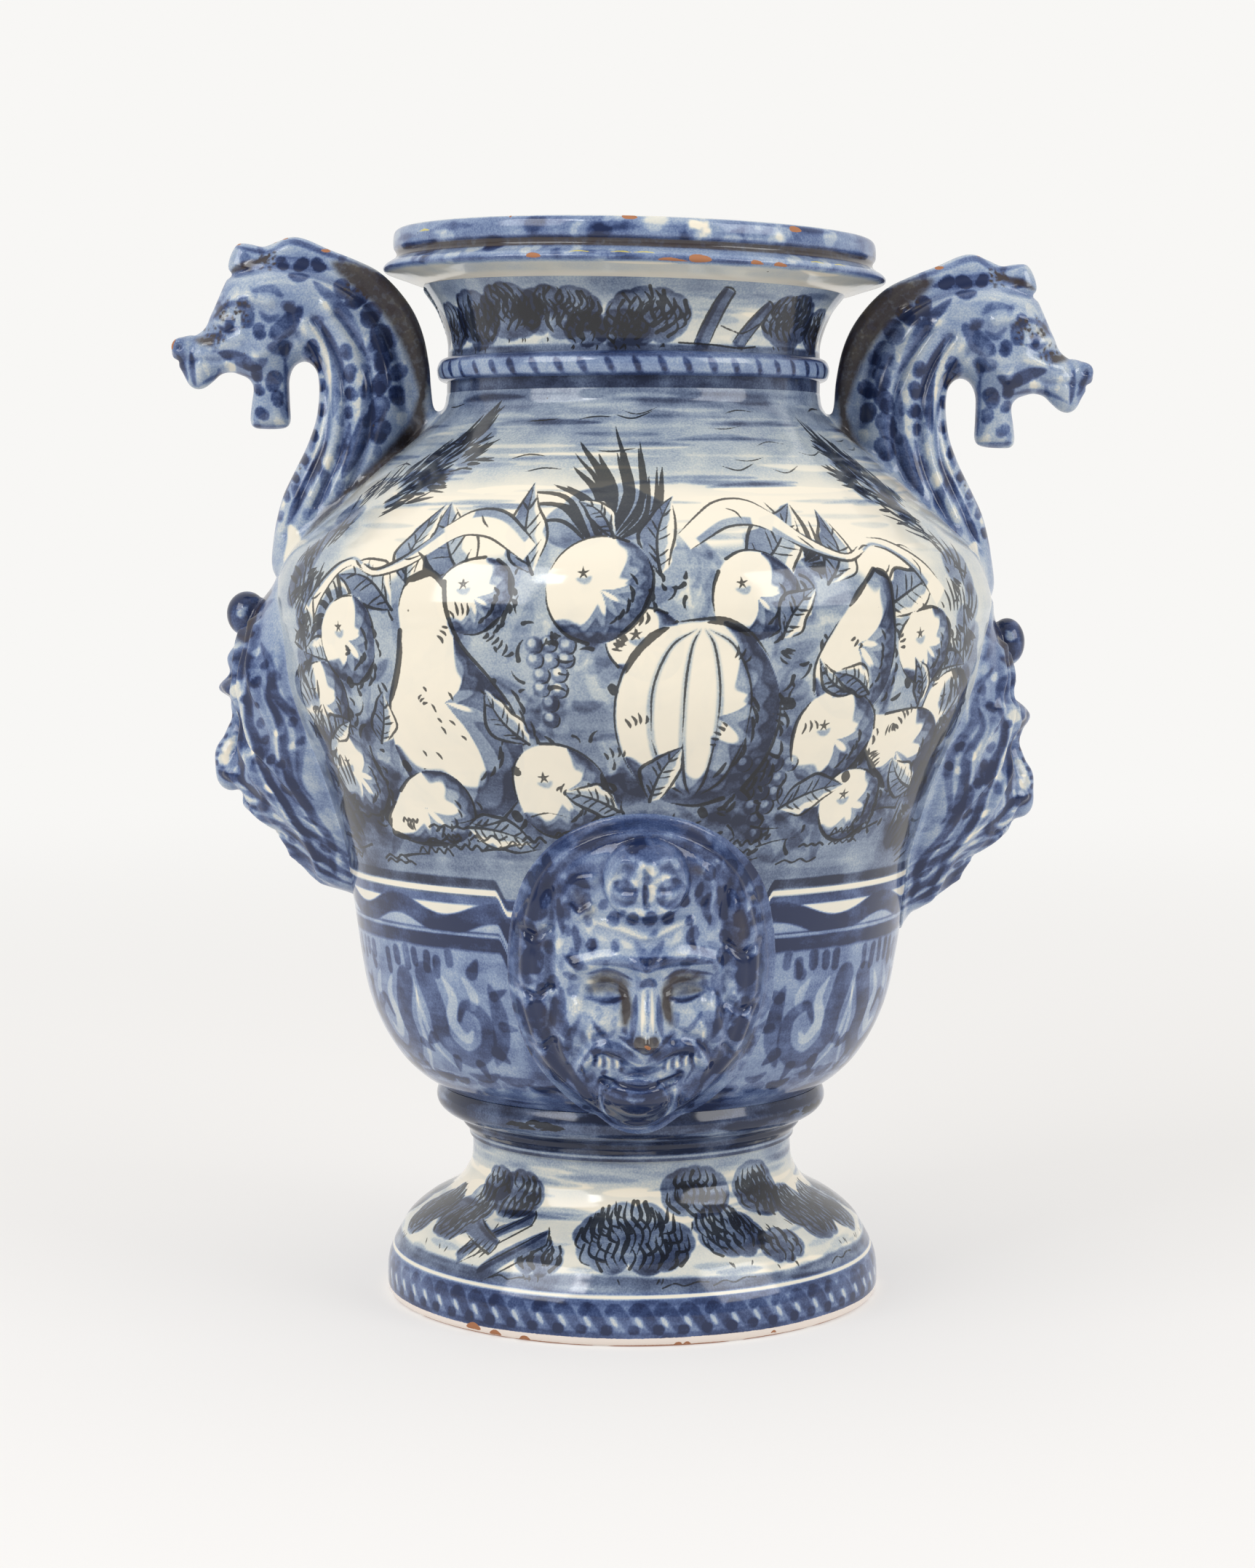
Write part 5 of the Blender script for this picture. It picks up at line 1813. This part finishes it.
def paint_front_mask(canvas):
    """Mottled blues: dark round the edge and in the curls, pale on the face."""
    hand = np.random.default_rng(71)
    x, z = canvas.points[:, 0], canvas.points[:, 2]
    out = np.hypot((x - 1) / 50, (z - 65) / 65.5)
    canvas.lay(0.28 + 0.36 * ease((out - 0.60) / 0.2))
    canvas.lay(0.14 * ease((z - 112) / 10))
    dapple(canvas, hand, 56, (-24, 26), (28, 86), 0.18, 1.5)
    dapple(canvas, hand, 26, (-24, 26), (28, 86), -0.11, 1.5)
    for first, last in ((-48, -29), (30, 48)):
        dapple(canvas, hand, 60, (first, 24), (last, 112), 0.20, 2.1)
        dapple(canvas, hand, 20, (first, 30), (last, 112), -0.24, 1.3)
        for _ in range(26):
            a, b, size = hand.uniform(first, last), hand.uniform(22, 112), hand.uniform(1.3, 3.0)
            canvas.blobs(a, b, [(0, 0, size), (hand.uniform(-1, 1), size * 0.7, size * 0.8)], 0.30, 0.9)
    dapple(canvas, hand, 26, (-32, 96), (32, 124), -0.20, 1.4)
    dapple(canvas, hand, 40, (-24, 2), (24, 26), 0.18, 1.6)
    for _ in range(70):
        a, b, size = hand.uniform(-31, 33), hand.uniform(30, 100), hand.uniform(0.9, 2.4)
        if abs(a - 2.5) > 8 and abs(b - 62) > 4:
            left, right = hand.uniform(-1, 1), hand.uniform(-1, 1)
            lobes = [(0, 0, size), (left, size * 0.9, size * 0.75), (right, -size * 0.8, size * 0.6)]
            canvas.blobs(a, b, lobes, 0.26, 0.8)
    for row in FRONT_PATCHES:
        canvas.blobs(*row)
    strokes(canvas, FRONT_TOUCHES)
    strokes(canvas, [(*row, 1.1) for row in FRONT_STROKES])
    strokes(canvas, FRONT_BROWNS, "brown")
    for a, b, size in FRONT_DABS:
        canvas.blobs(a, b, [(0, 0, size), (0.15 * size, 0.6 * size, size * 0.85)], 0.40, 0.9)
    for centre, facing in ((-19.0, 1), (22.0, -1)):
        for index in range(4):
            a, b = centre + facing * 3.4 * index, 38.0 - 0.9 * index
            canvas.brush([(a, b), (a + facing * 0.6, b - 3.0), (a + facing * 0.2, b - 5.6)], 0.7, -0.30,
                         0.9)
            canvas.brush([(a + facing * 1.7, b), (a + facing * 2.2, b - 3.2), (a + facing * 1.8, b - 6)],
                         0.8, 0.34, 0.9)
    for a, facing in ((-11.5, -1), (17.0, 1)):
        side = [(a - facing * 5.5, 64), (a - facing * 6.5, 57), (a - facing * 5.5, 50)]
        strokes(canvas, [([(a - 8, 62), (a - 2, 64.5), (a + 7, 62.5)], 2.8, 0.62, 3.0),
                         (side, 2.0, 0.66, 3.0)], "brown")
        canvas.brush([(a - 7, 59.5), (a, 58.6), (a + 6, 60)], 1.0, 0.40, 1.0)
        canvas.blobs(a + facing * 10, 50, [(0, 0, 4.5), (facing * 2, -5, 4.0), (-facing * 3, -9, 2.6)],
                     0.22, 1.2)
        canvas.brush([(a + facing * 6, 51), (a + facing * 8, 46), (a + facing * 7, 41)], 1.0, -0.26, 1.0)
        canvas.blobs(a + facing * 13, 66, [(0, 0, 2.8), (facing, -4, 2.4)], 0.24, 1.0)
    canvas.blobs(2.4, 42.4, [(-2.0, 0.8, 2.8), (2.2, 0.8, 2.8), (0, -1.6, 2.6)], 1.2, 1.6, "brown")
    canvas.ink([(1.8, 43.0), (3.0, 42.2), (3.8, 41.4)], 0.8, mark="chip")


# The height of the ball of hair over a side mask's brow.
SIDE_CROWN = 119.0
# Marks on a side mask: in from its outline as it is seen from the front, and up from its lowest point.
SIDE_STROKES = (
    (((2, 108), (4, 103), (9, 99)), 2.5, 0.2),
    (((5, 99), (9, 103), (14, 101), (15, 96), (10, 94)), 3.4, 0.31),
    (((1, 92), (4, 89), (6, 85)), 4.2, 0.35), (((3, 93), (8, 93), (13, 91)), 1.8, 0.35),
    (((18.5, 96), (19, 88), (16, 76), (21, 66), (26, 52), (23, 40), (15, 25), (9, 12)), 2, 0.43),
    (((16, 98), (16.5, 88), (13.5, 76), (18, 66), (23.5, 52), (20, 40), (12, 25)), 1, -0.23),
    (((7.5, 82), (10, 71), (13, 58), (11.5, 48), (16, 40)), 2, 0.46), (((7.7, 81), (8.4, 78)), 2.3, 0.31),
    (((12, 69), (15.6, 58), (14.4, 48), (20, 36)), 1, -0.2),
    (((27, 92), (28, 80), (33, 66), (36, 52), (31, 38), (24, 24), (14, 11)), 2.3, 0.41),
    (((25, 90), (25.5, 79), (30, 66), (33, 53), (28, 38), (21, 24)), 0.9, -0.2),
    (((20, 108), (26, 100), (30, 88), (37, 74), (41, 60), (38, 44)), 2.2, 0.35),
    (((23, 104), (30, 94), (35, 82)), 0.9, -0.18), (((31, 60), (33, 50), (29, 40)), 2.7, 0.26),
    (((2, 53), (5, 50.5), (9, 51), (13, 48)), 2.2, 0.52), (((6, 46), (10, 44), (14, 45)), 1.8, 0.37),
    (((3, 40), (8, 38), (14, 41), (17, 46)), 1.6, 0.41), (((3, 33), (7, 33.5), (12, 31)), 1.9, 0.37),
    (((2, 27), (5, 20), (10, 12), (16, 5)), 2, 0.37), (((5, 29), (9, 20), (15, 10)), 1.2, -0.2),
    (((9, 30), (13, 22), (19, 12), (27, 5)), 2.2, 0.35), (((13, 32), (17, 24), (24, 14)), 1.2, -0.19),
    (((17, 34), (22, 26), (28, 18)), 2, 0.35), (((22, 38), (27, 30), (32, 24)), 1.2, -0.16),
    (((20, 58), (24, 62), (26, 68)), 2.5, 0.26), (((1, 20), (3, 15), (6, 9)), 2.2, 0.31),
    (((4, 112), (10, 109.5), (17, 112)), 2.2, 0.46), (((10, 93), (13, 86), (12, 80)), 1, -0.18),
)
SIDE_LIGHTS = (
    (12.6, 87.5, 3.4), (5.0, 64, 3.2), (4.4, 58, 2.6), (8.5, 43.5, 2.8), (1.8, 105, 1.6), (5.2, 78, 2.4),
    (17.5, 62.5, 2.2), (25, 58, 1.8), (22.5, 47, 1.6), (29.5, 72, 2.0), (13, 34.5, 1.7), (36, 66, 1.6),
    (19, 104, 1.6), (10.5, 53.5, 1.8),
)
SIDE_DABS = (
    (16.5, 84.5, 1.7), (21.4, 82.6, 1.2), (20.9, 75.0, 2.0), (0.8, 76, 0.8), (1.0, 72, 0.8),
    (1.4, 67.5, 0.9), (1.6, 63.6, 0.9), (1.2, 60.0, 0.9), (1.2, 56.4, 1.0), (13.4, 46.4, 2.0),
    (4.6, 51, 1.8), (7.0, 24.5, 1.5), (12.5, 17.5, 1.6), (24, 68, 1.9), (28.5, 60, 2.0), (19.5, 22, 1.8),
    (33, 58, 1.7), (30, 47, 1.8), (26.5, 34, 1.6), (3.4, 36.5, 1.3), (22, 92, 2.1), (34, 76, 1.9),
    (39, 68, 1.8), (36, 50, 1.9), (24, 99, 1.8), (10, 68, 1.3),
)
SIDE_BROWNS = (
    (((13, 125), (14, 119), (12.6, 112)), 2.2, 0.80, 3.4),
    (((3, 110), (9, 108.5), (16, 111)), 1.4, 0.62, 3.0),
)


def paint_side_mask(canvas):
    """Mottled blues over long strands of hair, the same on both its halves."""
    hand = np.random.default_rng(81)
    canvas.lay(0.44)
    for _ in range(150):
        x, z = hand.uniform(-44, 44), hand.uniform(4, 128)
        sway = hand.uniform(-3.0, 3.0)
        length = hand.uniform(3, 9)
        canvas.brush([(x, z), (x + sway, z + 0.5 * length), (x + 0.4 * sway, z + length)],
                     hand.uniform(1.2, 3.0), hand.choice((-0.12, 0.12, 0.18)), 1.4)
    for facing in (-1, 1):
        for table, colour in (([(*row, 1.4) for row in SIDE_STROKES], "blue"), (SIDE_BROWNS, "brown")):
            strokes(canvas, [([(facing * x, z) for x, z in path], *rest) for path, *rest in table], colour)
        for x, z, size in SIDE_LIGHTS:
            canvas.blobs(facing * x, z, [(0, 0, size), (0.3 * size, 0.8 * size, 0.6 * size)], -0.30, 1.0)
        for x, z, size in SIDE_DABS:
            canvas.blobs(facing * x, z, [(0, 0, size), (0.2 * size, 0.5 * size, 0.8 * size)], 0.42, 0.8)
        canvas.blobs(facing * 7, SIDE_CROWN, [(0, 0, 9.5), (3, -4, 6), (2, 4, 6)], 0.46, 1.8)
        canvas.blobs(facing * 6.5, SIDE_CROWN, [(0, 0, 1.8), (0.8, 1.6, 1.3)], -0.60, 1.2)
    canvas.brush([(-4, SIDE_CROWN + 7), (0, SIDE_CROWN + 8.4), (4, SIDE_CROWN + 7)], 1.6, 0.3, 1.4)


def linear(red, green, blue):
    """A colour as the eye reads it, 0 to 255, in the renderer's own scale."""
    shares = [value / 255 for value in (red, green, blue)]
    return tuple(c / 12.92 if c <= 0.04045 else ((c + 0.055) / 1.055) ** 2.4 for c in shares) + (1.0,)


# Cobalt from its thinnest wash to its deepest, with the share of the deepest tone.
COBALT = (
    (0.0, (240, 231, 212)), (0.10, (212, 212, 204)), (0.22, (176, 187, 198)), (0.40, (132, 150, 180)),
    (0.60, (88, 106, 146)), (0.80, (54, 70, 110)), (1.0, (30, 42, 76)),
)
# The same under the drawing, where black has greyed it.
GREYED = (
    (0.0, (240, 231, 212)), (0.10, (214, 212, 200)), (0.22, (180, 187, 187)), (0.40, (141, 152, 163)),
    (0.60, (99, 111, 128)), (0.80, (62, 70, 86)), (1.0, (34, 40, 54)),
)
BLACK = linear(24, 25, 28)
MANGANESE = linear(62, 52, 46)
BARE_CLAY = linear(168, 112, 76)
WIPED_EDGE = linear(236, 224, 214)
YELLOW = linear(216, 200, 70)
CLAY_ROUGHNESS = 0.75

# The paper that the vessel stands on, near it and far from it, and the light of the room round it.
BACKDROP = linear(248, 247, 245)
PAPER = (0.42, 0.415, 0.41, 1.0)
PAPER_GLOW = (0.46, 0.45, 0.44, 1.0)
PAPER_NEAR, PAPER_FAR = 0.2, 2.2
PAPER_REACH = 9.0
ROOM_FRONT, ROOM_BACK, ROOM_TOP = 0.25, 0.85, 0.25
# Soft square lamps: name, place and size in metres, and power in watts. They all face the vessel's middle.
LAMPS = (
    ("lamp_left", (-1.5, -1.3, 1.5), 1.3, 24.0), ("lamp_right", (1.7, -1.1, 1.25), 1.2, 19.0),
    ("lamp_spark", (-0.9, -1.7, 1.6), 0.30, 3.0),
)
LAMPS_FACE = (0.0, 0.0, 0.24)


class Nodes:
    """A short way to write a node tree."""

    def __init__(self, tree):
        self.tree = tree

    def add(self, kind, inputs=None, **settings):
        """One node, with values or other nodes' outputs on its inputs."""
        made = self.tree.nodes.new(kind)
        for name, value in settings.items():
            setattr(made, name, value)
        for name, value in (inputs or {}).items():
            self.put(made.inputs[name], value)
        return made

    def put(self, socket, value):
        """Links another node's output to an input, or sets a value there."""
        if isinstance(value, bpy.types.NodeSocket):
            self.tree.links.new(value, socket)
        else:
            socket.default_value = value

    def maths(self, operation, a, b):
        """A sum, product or other operation on two values."""
        return self.add("ShaderNodeMath", {0: a, 1: b}, operation=operation).outputs[0]

    def mix(self, factor, a, b):
        """A colour between two others."""
        made = self.add("ShaderNodeMix", data_type="RGBA")
        self.put(made.inputs["Factor"], factor)
        self.put(made.inputs["A"], a)
        self.put(made.inputs["B"], b)
        return made.outputs["Result"]

    def ramp(self, value, low, high, out_low=0.0, out_high=1.0, smoothly=True):
        """A value moved from one range to another, and kept within it."""
        inputs = {"Value": value, "From Min": low, "From Max": high, "To Min": out_low, "To Max": out_high}
        kind = "SMOOTHSTEP" if smoothly else "LINEAR"
        return self.add("ShaderNodeMapRange", inputs, interpolation_type=kind).outputs["Result"]


def glaze(name, roughness):
    """Tin glaze: cobalt washes that granulate and pool, brown and black lines, chips down to the clay."""
    material = bpy.data.materials.new(name)
    material.use_nodes = True
    nodes = Nodes(material.node_tree)
    shader = material.node_tree.nodes["Principled BSDF"]
    place = nodes.add("ShaderNodeTexCoord").outputs["Object"]

    def noise(scale, detail=3.0, stretch=(1, 1, 1)):
        """Soft noise over the piece."""
        moved = nodes.add("ShaderNodeMapping", {"Vector": place, "Scale": stretch}).outputs["Vector"]
        return nodes.add("ShaderNodeTexNoise",
                         {"Vector": moved, "Scale": scale, "Detail": detail}).outputs["Fac"]

    def layer(kind):
        """A layer of paint, as stored on the mesh."""
        return nodes.add("ShaderNodeAttribute", attribute_name=kind).outputs["Fac"]

    blue = layer("blue")
    uneven = nodes.ramp(noise(60.0, 5.0), 0.30, 0.70, 0.74, 1.24)
    streaks = nodes.ramp(noise(26.0, 3.0, (1, 1, 9)), 0.3, 0.7, 0.90, 1.10)
    blue = nodes.maths("MULTIPLY", nodes.maths("MULTIPLY", blue, uneven), streaks)
    hollow = nodes.ramp(layer("hollow"), -0.35, 0.55, -0.07, 0.20, smoothly=False)
    wetted = nodes.ramp(blue, 0.02, 0.25)
    blue = nodes.maths("ADD", blue, nodes.maths("MULTIPLY", hollow, wetted))
    grain = nodes.ramp(noise(1300.0, 2.0), 0.3, 0.7, -0.075, 0.075, smoothly=False)
    blue = nodes.maths("ADD", blue, nodes.maths("MULTIPLY", grain, wetted))
    tones = []
    for table in (COBALT, GREYED):
        ramp = nodes.add("ShaderNodeValToRGB", {"Fac": blue})
        stops = ramp.color_ramp.elements
        for index, (share, shade) in enumerate(table):
            stop = stops[index] if index < 2 else stops.new(share)
            stop.position, stop.color = share, linear(*shade)
        tones.append(ramp.outputs["Color"])
    colour = nodes.mix(layer("grey"), *tones)
    brown = nodes.maths("MULTIPLY", layer("brown"), nodes.ramp(noise(420.0, 4.0), 0.34, 0.60, 0.88, 1.04))
    brown = nodes.add("ShaderNodeClamp", {"Value": brown, "Max": 0.93}).outputs[0]
    colour = nodes.mix(brown, colour, MANGANESE)
    ragged = nodes.maths("MULTIPLY", nodes.maths("SUBTRACT", noise(900.0), 0.5), 0.5)
    for mark, softness, strength, paint in (
        ("line", 0.28, 0.90, BLACK), ("yellow", 0.4, 0.8, YELLOW), ("bare", 0.3, 1.0, WIPED_EDGE),
        ("chip", 0.15, 1.0, BARE_CLAY),
    ):
        edge = nodes.maths("ADD", layer(mark), ragged)
        laid = nodes.ramp(edge, -softness / 2, softness / 2, 0.0, strength)
        colour = nodes.mix(laid, colour, paint)
        if mark == "chip":
            matt = laid
    specks = nodes.add("ShaderNodeTexVoronoi", {"Vector": place, "Scale": 95.0})
    speck = nodes.ramp(specks.outputs["Distance"], 0.035, 0.05, 0.75, 0.0)
    some = nodes.ramp(nodes.add("ShaderNodeSeparateColor", {"Color": specks.outputs["Color"]}).outputs[0],
                      0.80, 0.81)
    colour = nodes.mix(nodes.maths("MULTIPLY", speck, some), colour, MANGANESE)
    nodes.put(shader.inputs["Base Color"], colour)
    nodes.put(shader.inputs["Roughness"], nodes.ramp(matt, 0.0, 1.0, roughness, CLAY_ROUGHNESS))
    bump = nodes.add("ShaderNodeBump", {"Height": noise(45.0, 2.0), "Strength": 0.25, "Distance": 0.0012})
    nodes.put(shader.inputs["Normal"], bump.outputs["Normal"])
    return material


def make_room():
    """A pale floor and backdrop, white surroundings and three soft lamps."""
    scene = bpy.context.scene
    scene.view_settings.view_transform = "Standard"
    world = bpy.data.worlds.new("studio")
    scene.world = world
    world.use_nodes = True
    nodes = Nodes(world.node_tree)
    background = world.node_tree.nodes["Background"]
    way = nodes.add("ShaderNodeTexCoord").outputs["Generated"]
    parts = nodes.add("ShaderNodeSeparateXYZ", {"Vector": way})
    behind = nodes.ramp(parts.outputs["Y"], -0.9, 0.5, ROOM_FRONT, ROOM_BACK)
    above = nodes.ramp(parts.outputs["Z"], 0.1, 1.0, 0.0, ROOM_TOP)
    room = nodes.maths("ADD", behind, above)
    rays = nodes.add("ShaderNodeLightPath").outputs["Is Camera Ray"]
    white = nodes.maths("MULTIPLY", rays, nodes.maths("SUBTRACT", 1.0, room))
    nodes.put(background.inputs["Strength"], nodes.maths("ADD", room, white))
    background.inputs["Color"].default_value = BACKDROP

    floor_mesh = bpy.data.meshes.new("floor")
    corners = [(x * PAPER_REACH, y * PAPER_REACH, 0) for x, y in ((-1, -1), (1, -1), (1, 1), (-1, 1))]
    floor_mesh.from_pydata(corners, [], [(0, 1, 2, 3)])
    floor = bpy.data.objects.new("floor", floor_mesh)
    scene.collection.objects.link(floor)
    paper = bpy.data.materials.new("paper")
    paper.use_nodes = True
    nodes = Nodes(paper.node_tree)
    shader = paper.node_tree.nodes["Principled BSDF"]
    spot = nodes.add("ShaderNodeTexCoord").outputs["Object"]
    distance = nodes.add("ShaderNodeVectorMath", {0: spot}, operation="LENGTH").outputs["Value"]
    far = nodes.ramp(distance, PAPER_NEAR, PAPER_FAR)
    nodes.put(shader.inputs["Base Color"], nodes.mix(far, PAPER, (0.0, 0.0, 0.0, 1.0)))
    shader.inputs["Roughness"].default_value = 1.0
    shader.inputs["Specular IOR Level"].default_value = 0.0
    nodes.put(shader.inputs["Emission Color"], nodes.mix(far, PAPER_GLOW, BACKDROP))
    shader.inputs["Emission Strength"].default_value = 1.0
    floor_mesh.materials.append(paper)

    for name, place, size, power in LAMPS:
        data = bpy.data.lights.new(name, "AREA")
        data.size = size
        data.energy = power
        lamp = bpy.data.objects.new(name, data)
        scene.collection.objects.link(lamp)
        lamp.location = place
        aim = np.array(LAMPS_FACE) - np.array(place)
        lamp.rotation_euler = (math.atan2(math.hypot(aim[0], aim[1]), -aim[2]), 0.0,
                               math.atan2(-aim[0], aim[1]))


def make_camera():
    """The photograph's camera."""
    data = bpy.data.cameras.new("camera")
    data.sensor_width = SENSOR_WIDTH
    data.lens = CAMERA_LENS
    data.clip_start = 0.01
    camera = bpy.data.objects.new("camera", data)
    bpy.context.scene.collection.objects.link(camera)
    camera.location = CAMERA_PLACE
    camera.rotation_euler = (math.pi / 2 - CAMERA_NODS, 0.0, 0.0)
    bpy.context.scene.camera = camera


def build():
    """The camera and the room, then the thrown pieces from the foot up, the handles and the masks."""
    make_camera()
    make_room()
    GLAZES.update({slot: glaze(slot, roughness) for slot, roughness in GLAZE_ROUGHNESS.items()})

    foot = foot_outline()
    inside = inside_of(foot, FOOT_WALL)
    inside[0] = (foot[0, 0] - FOOT_WALL, 0.0)
    inside[-1, 1] = WAIST_Z
    turned_piece("foot", foot, inside, PAINTED, paint_foot, seed=1)
    bore = FOOT_NECK_RADIUS - FOOT_WALL
    inside = np.array([(bore, WAIST_Z), (bore, BOWL_Z)])
    turned_piece("waist_ring", waist_outline(), inside, PAINTED, paint_ring, seed=2)
    bowl = bowl_outline()
    inside = inside_of(bowl, WALL)
    floor_z = BOWL_Z + FLOOR_THICKNESS
    inside = inside[inside[:, 1] > floor_z + FLOOR_FILLET]
    inside = np.vstack([(0.02, BOWL_Z), (0.02, floor_z), (inside[0, 0] - FLOOR_FILLET, floor_z), inside])
    inside[-1, 1] = BAND_Z
    turned_piece("bowl", bowl, inside, PAINTED, paint_bowl, seed=3)
    for node, outline, low, high, paint, seed, swell in (
        ("belly", belly_outline(), BAND_Z, COLLAR_Z, paint_belly, 4, 0.08),
        ("neck", neck_outline(), COLLAR_Z, RIM_Z, paint_neck, 5, 0.15),
    ):
        inside = inside_of(outline, WALL)
        inside[0, 1], inside[-1, 1] = low, high
        turned_piece(node, outline, inside, PAINTED, paint, seed, swell)
    bead = bead_outline()
    turned_piece("neck_bead", bead, bead[[0, -1]], RELIEF, paint_bead, seed=6, swell=0.25)
    rim = smooth(RIM_SHAPE, 160)
    rim[:, 1] = np.minimum(rim[:, 1], TOP_Z - RIM_TOP_ROOM)
    bore, throat = RIM_RADIUS - RIM_WALL, NECK_TOP_RADIUS - WALL
    inside = [(throat, RIM_Z), (throat + 5.5, RIM_Z + 5.5), (bore, RIM_Z + 13.5), (bore + 0.4, TOP_Z - 3.0),
              RIM_SHAPE[-1]]
    turned_piece("rim", rim, smooth(inside, 60), RELIEF, paint_rim, seed=7, swell=0.2)

    for side in ("left", "right"):
        make_dragon(side)
        mask_piece(side, paint_side_mask)
    for side in ("front", "back"):
        mask_piece(side, paint_front_mask)


build()
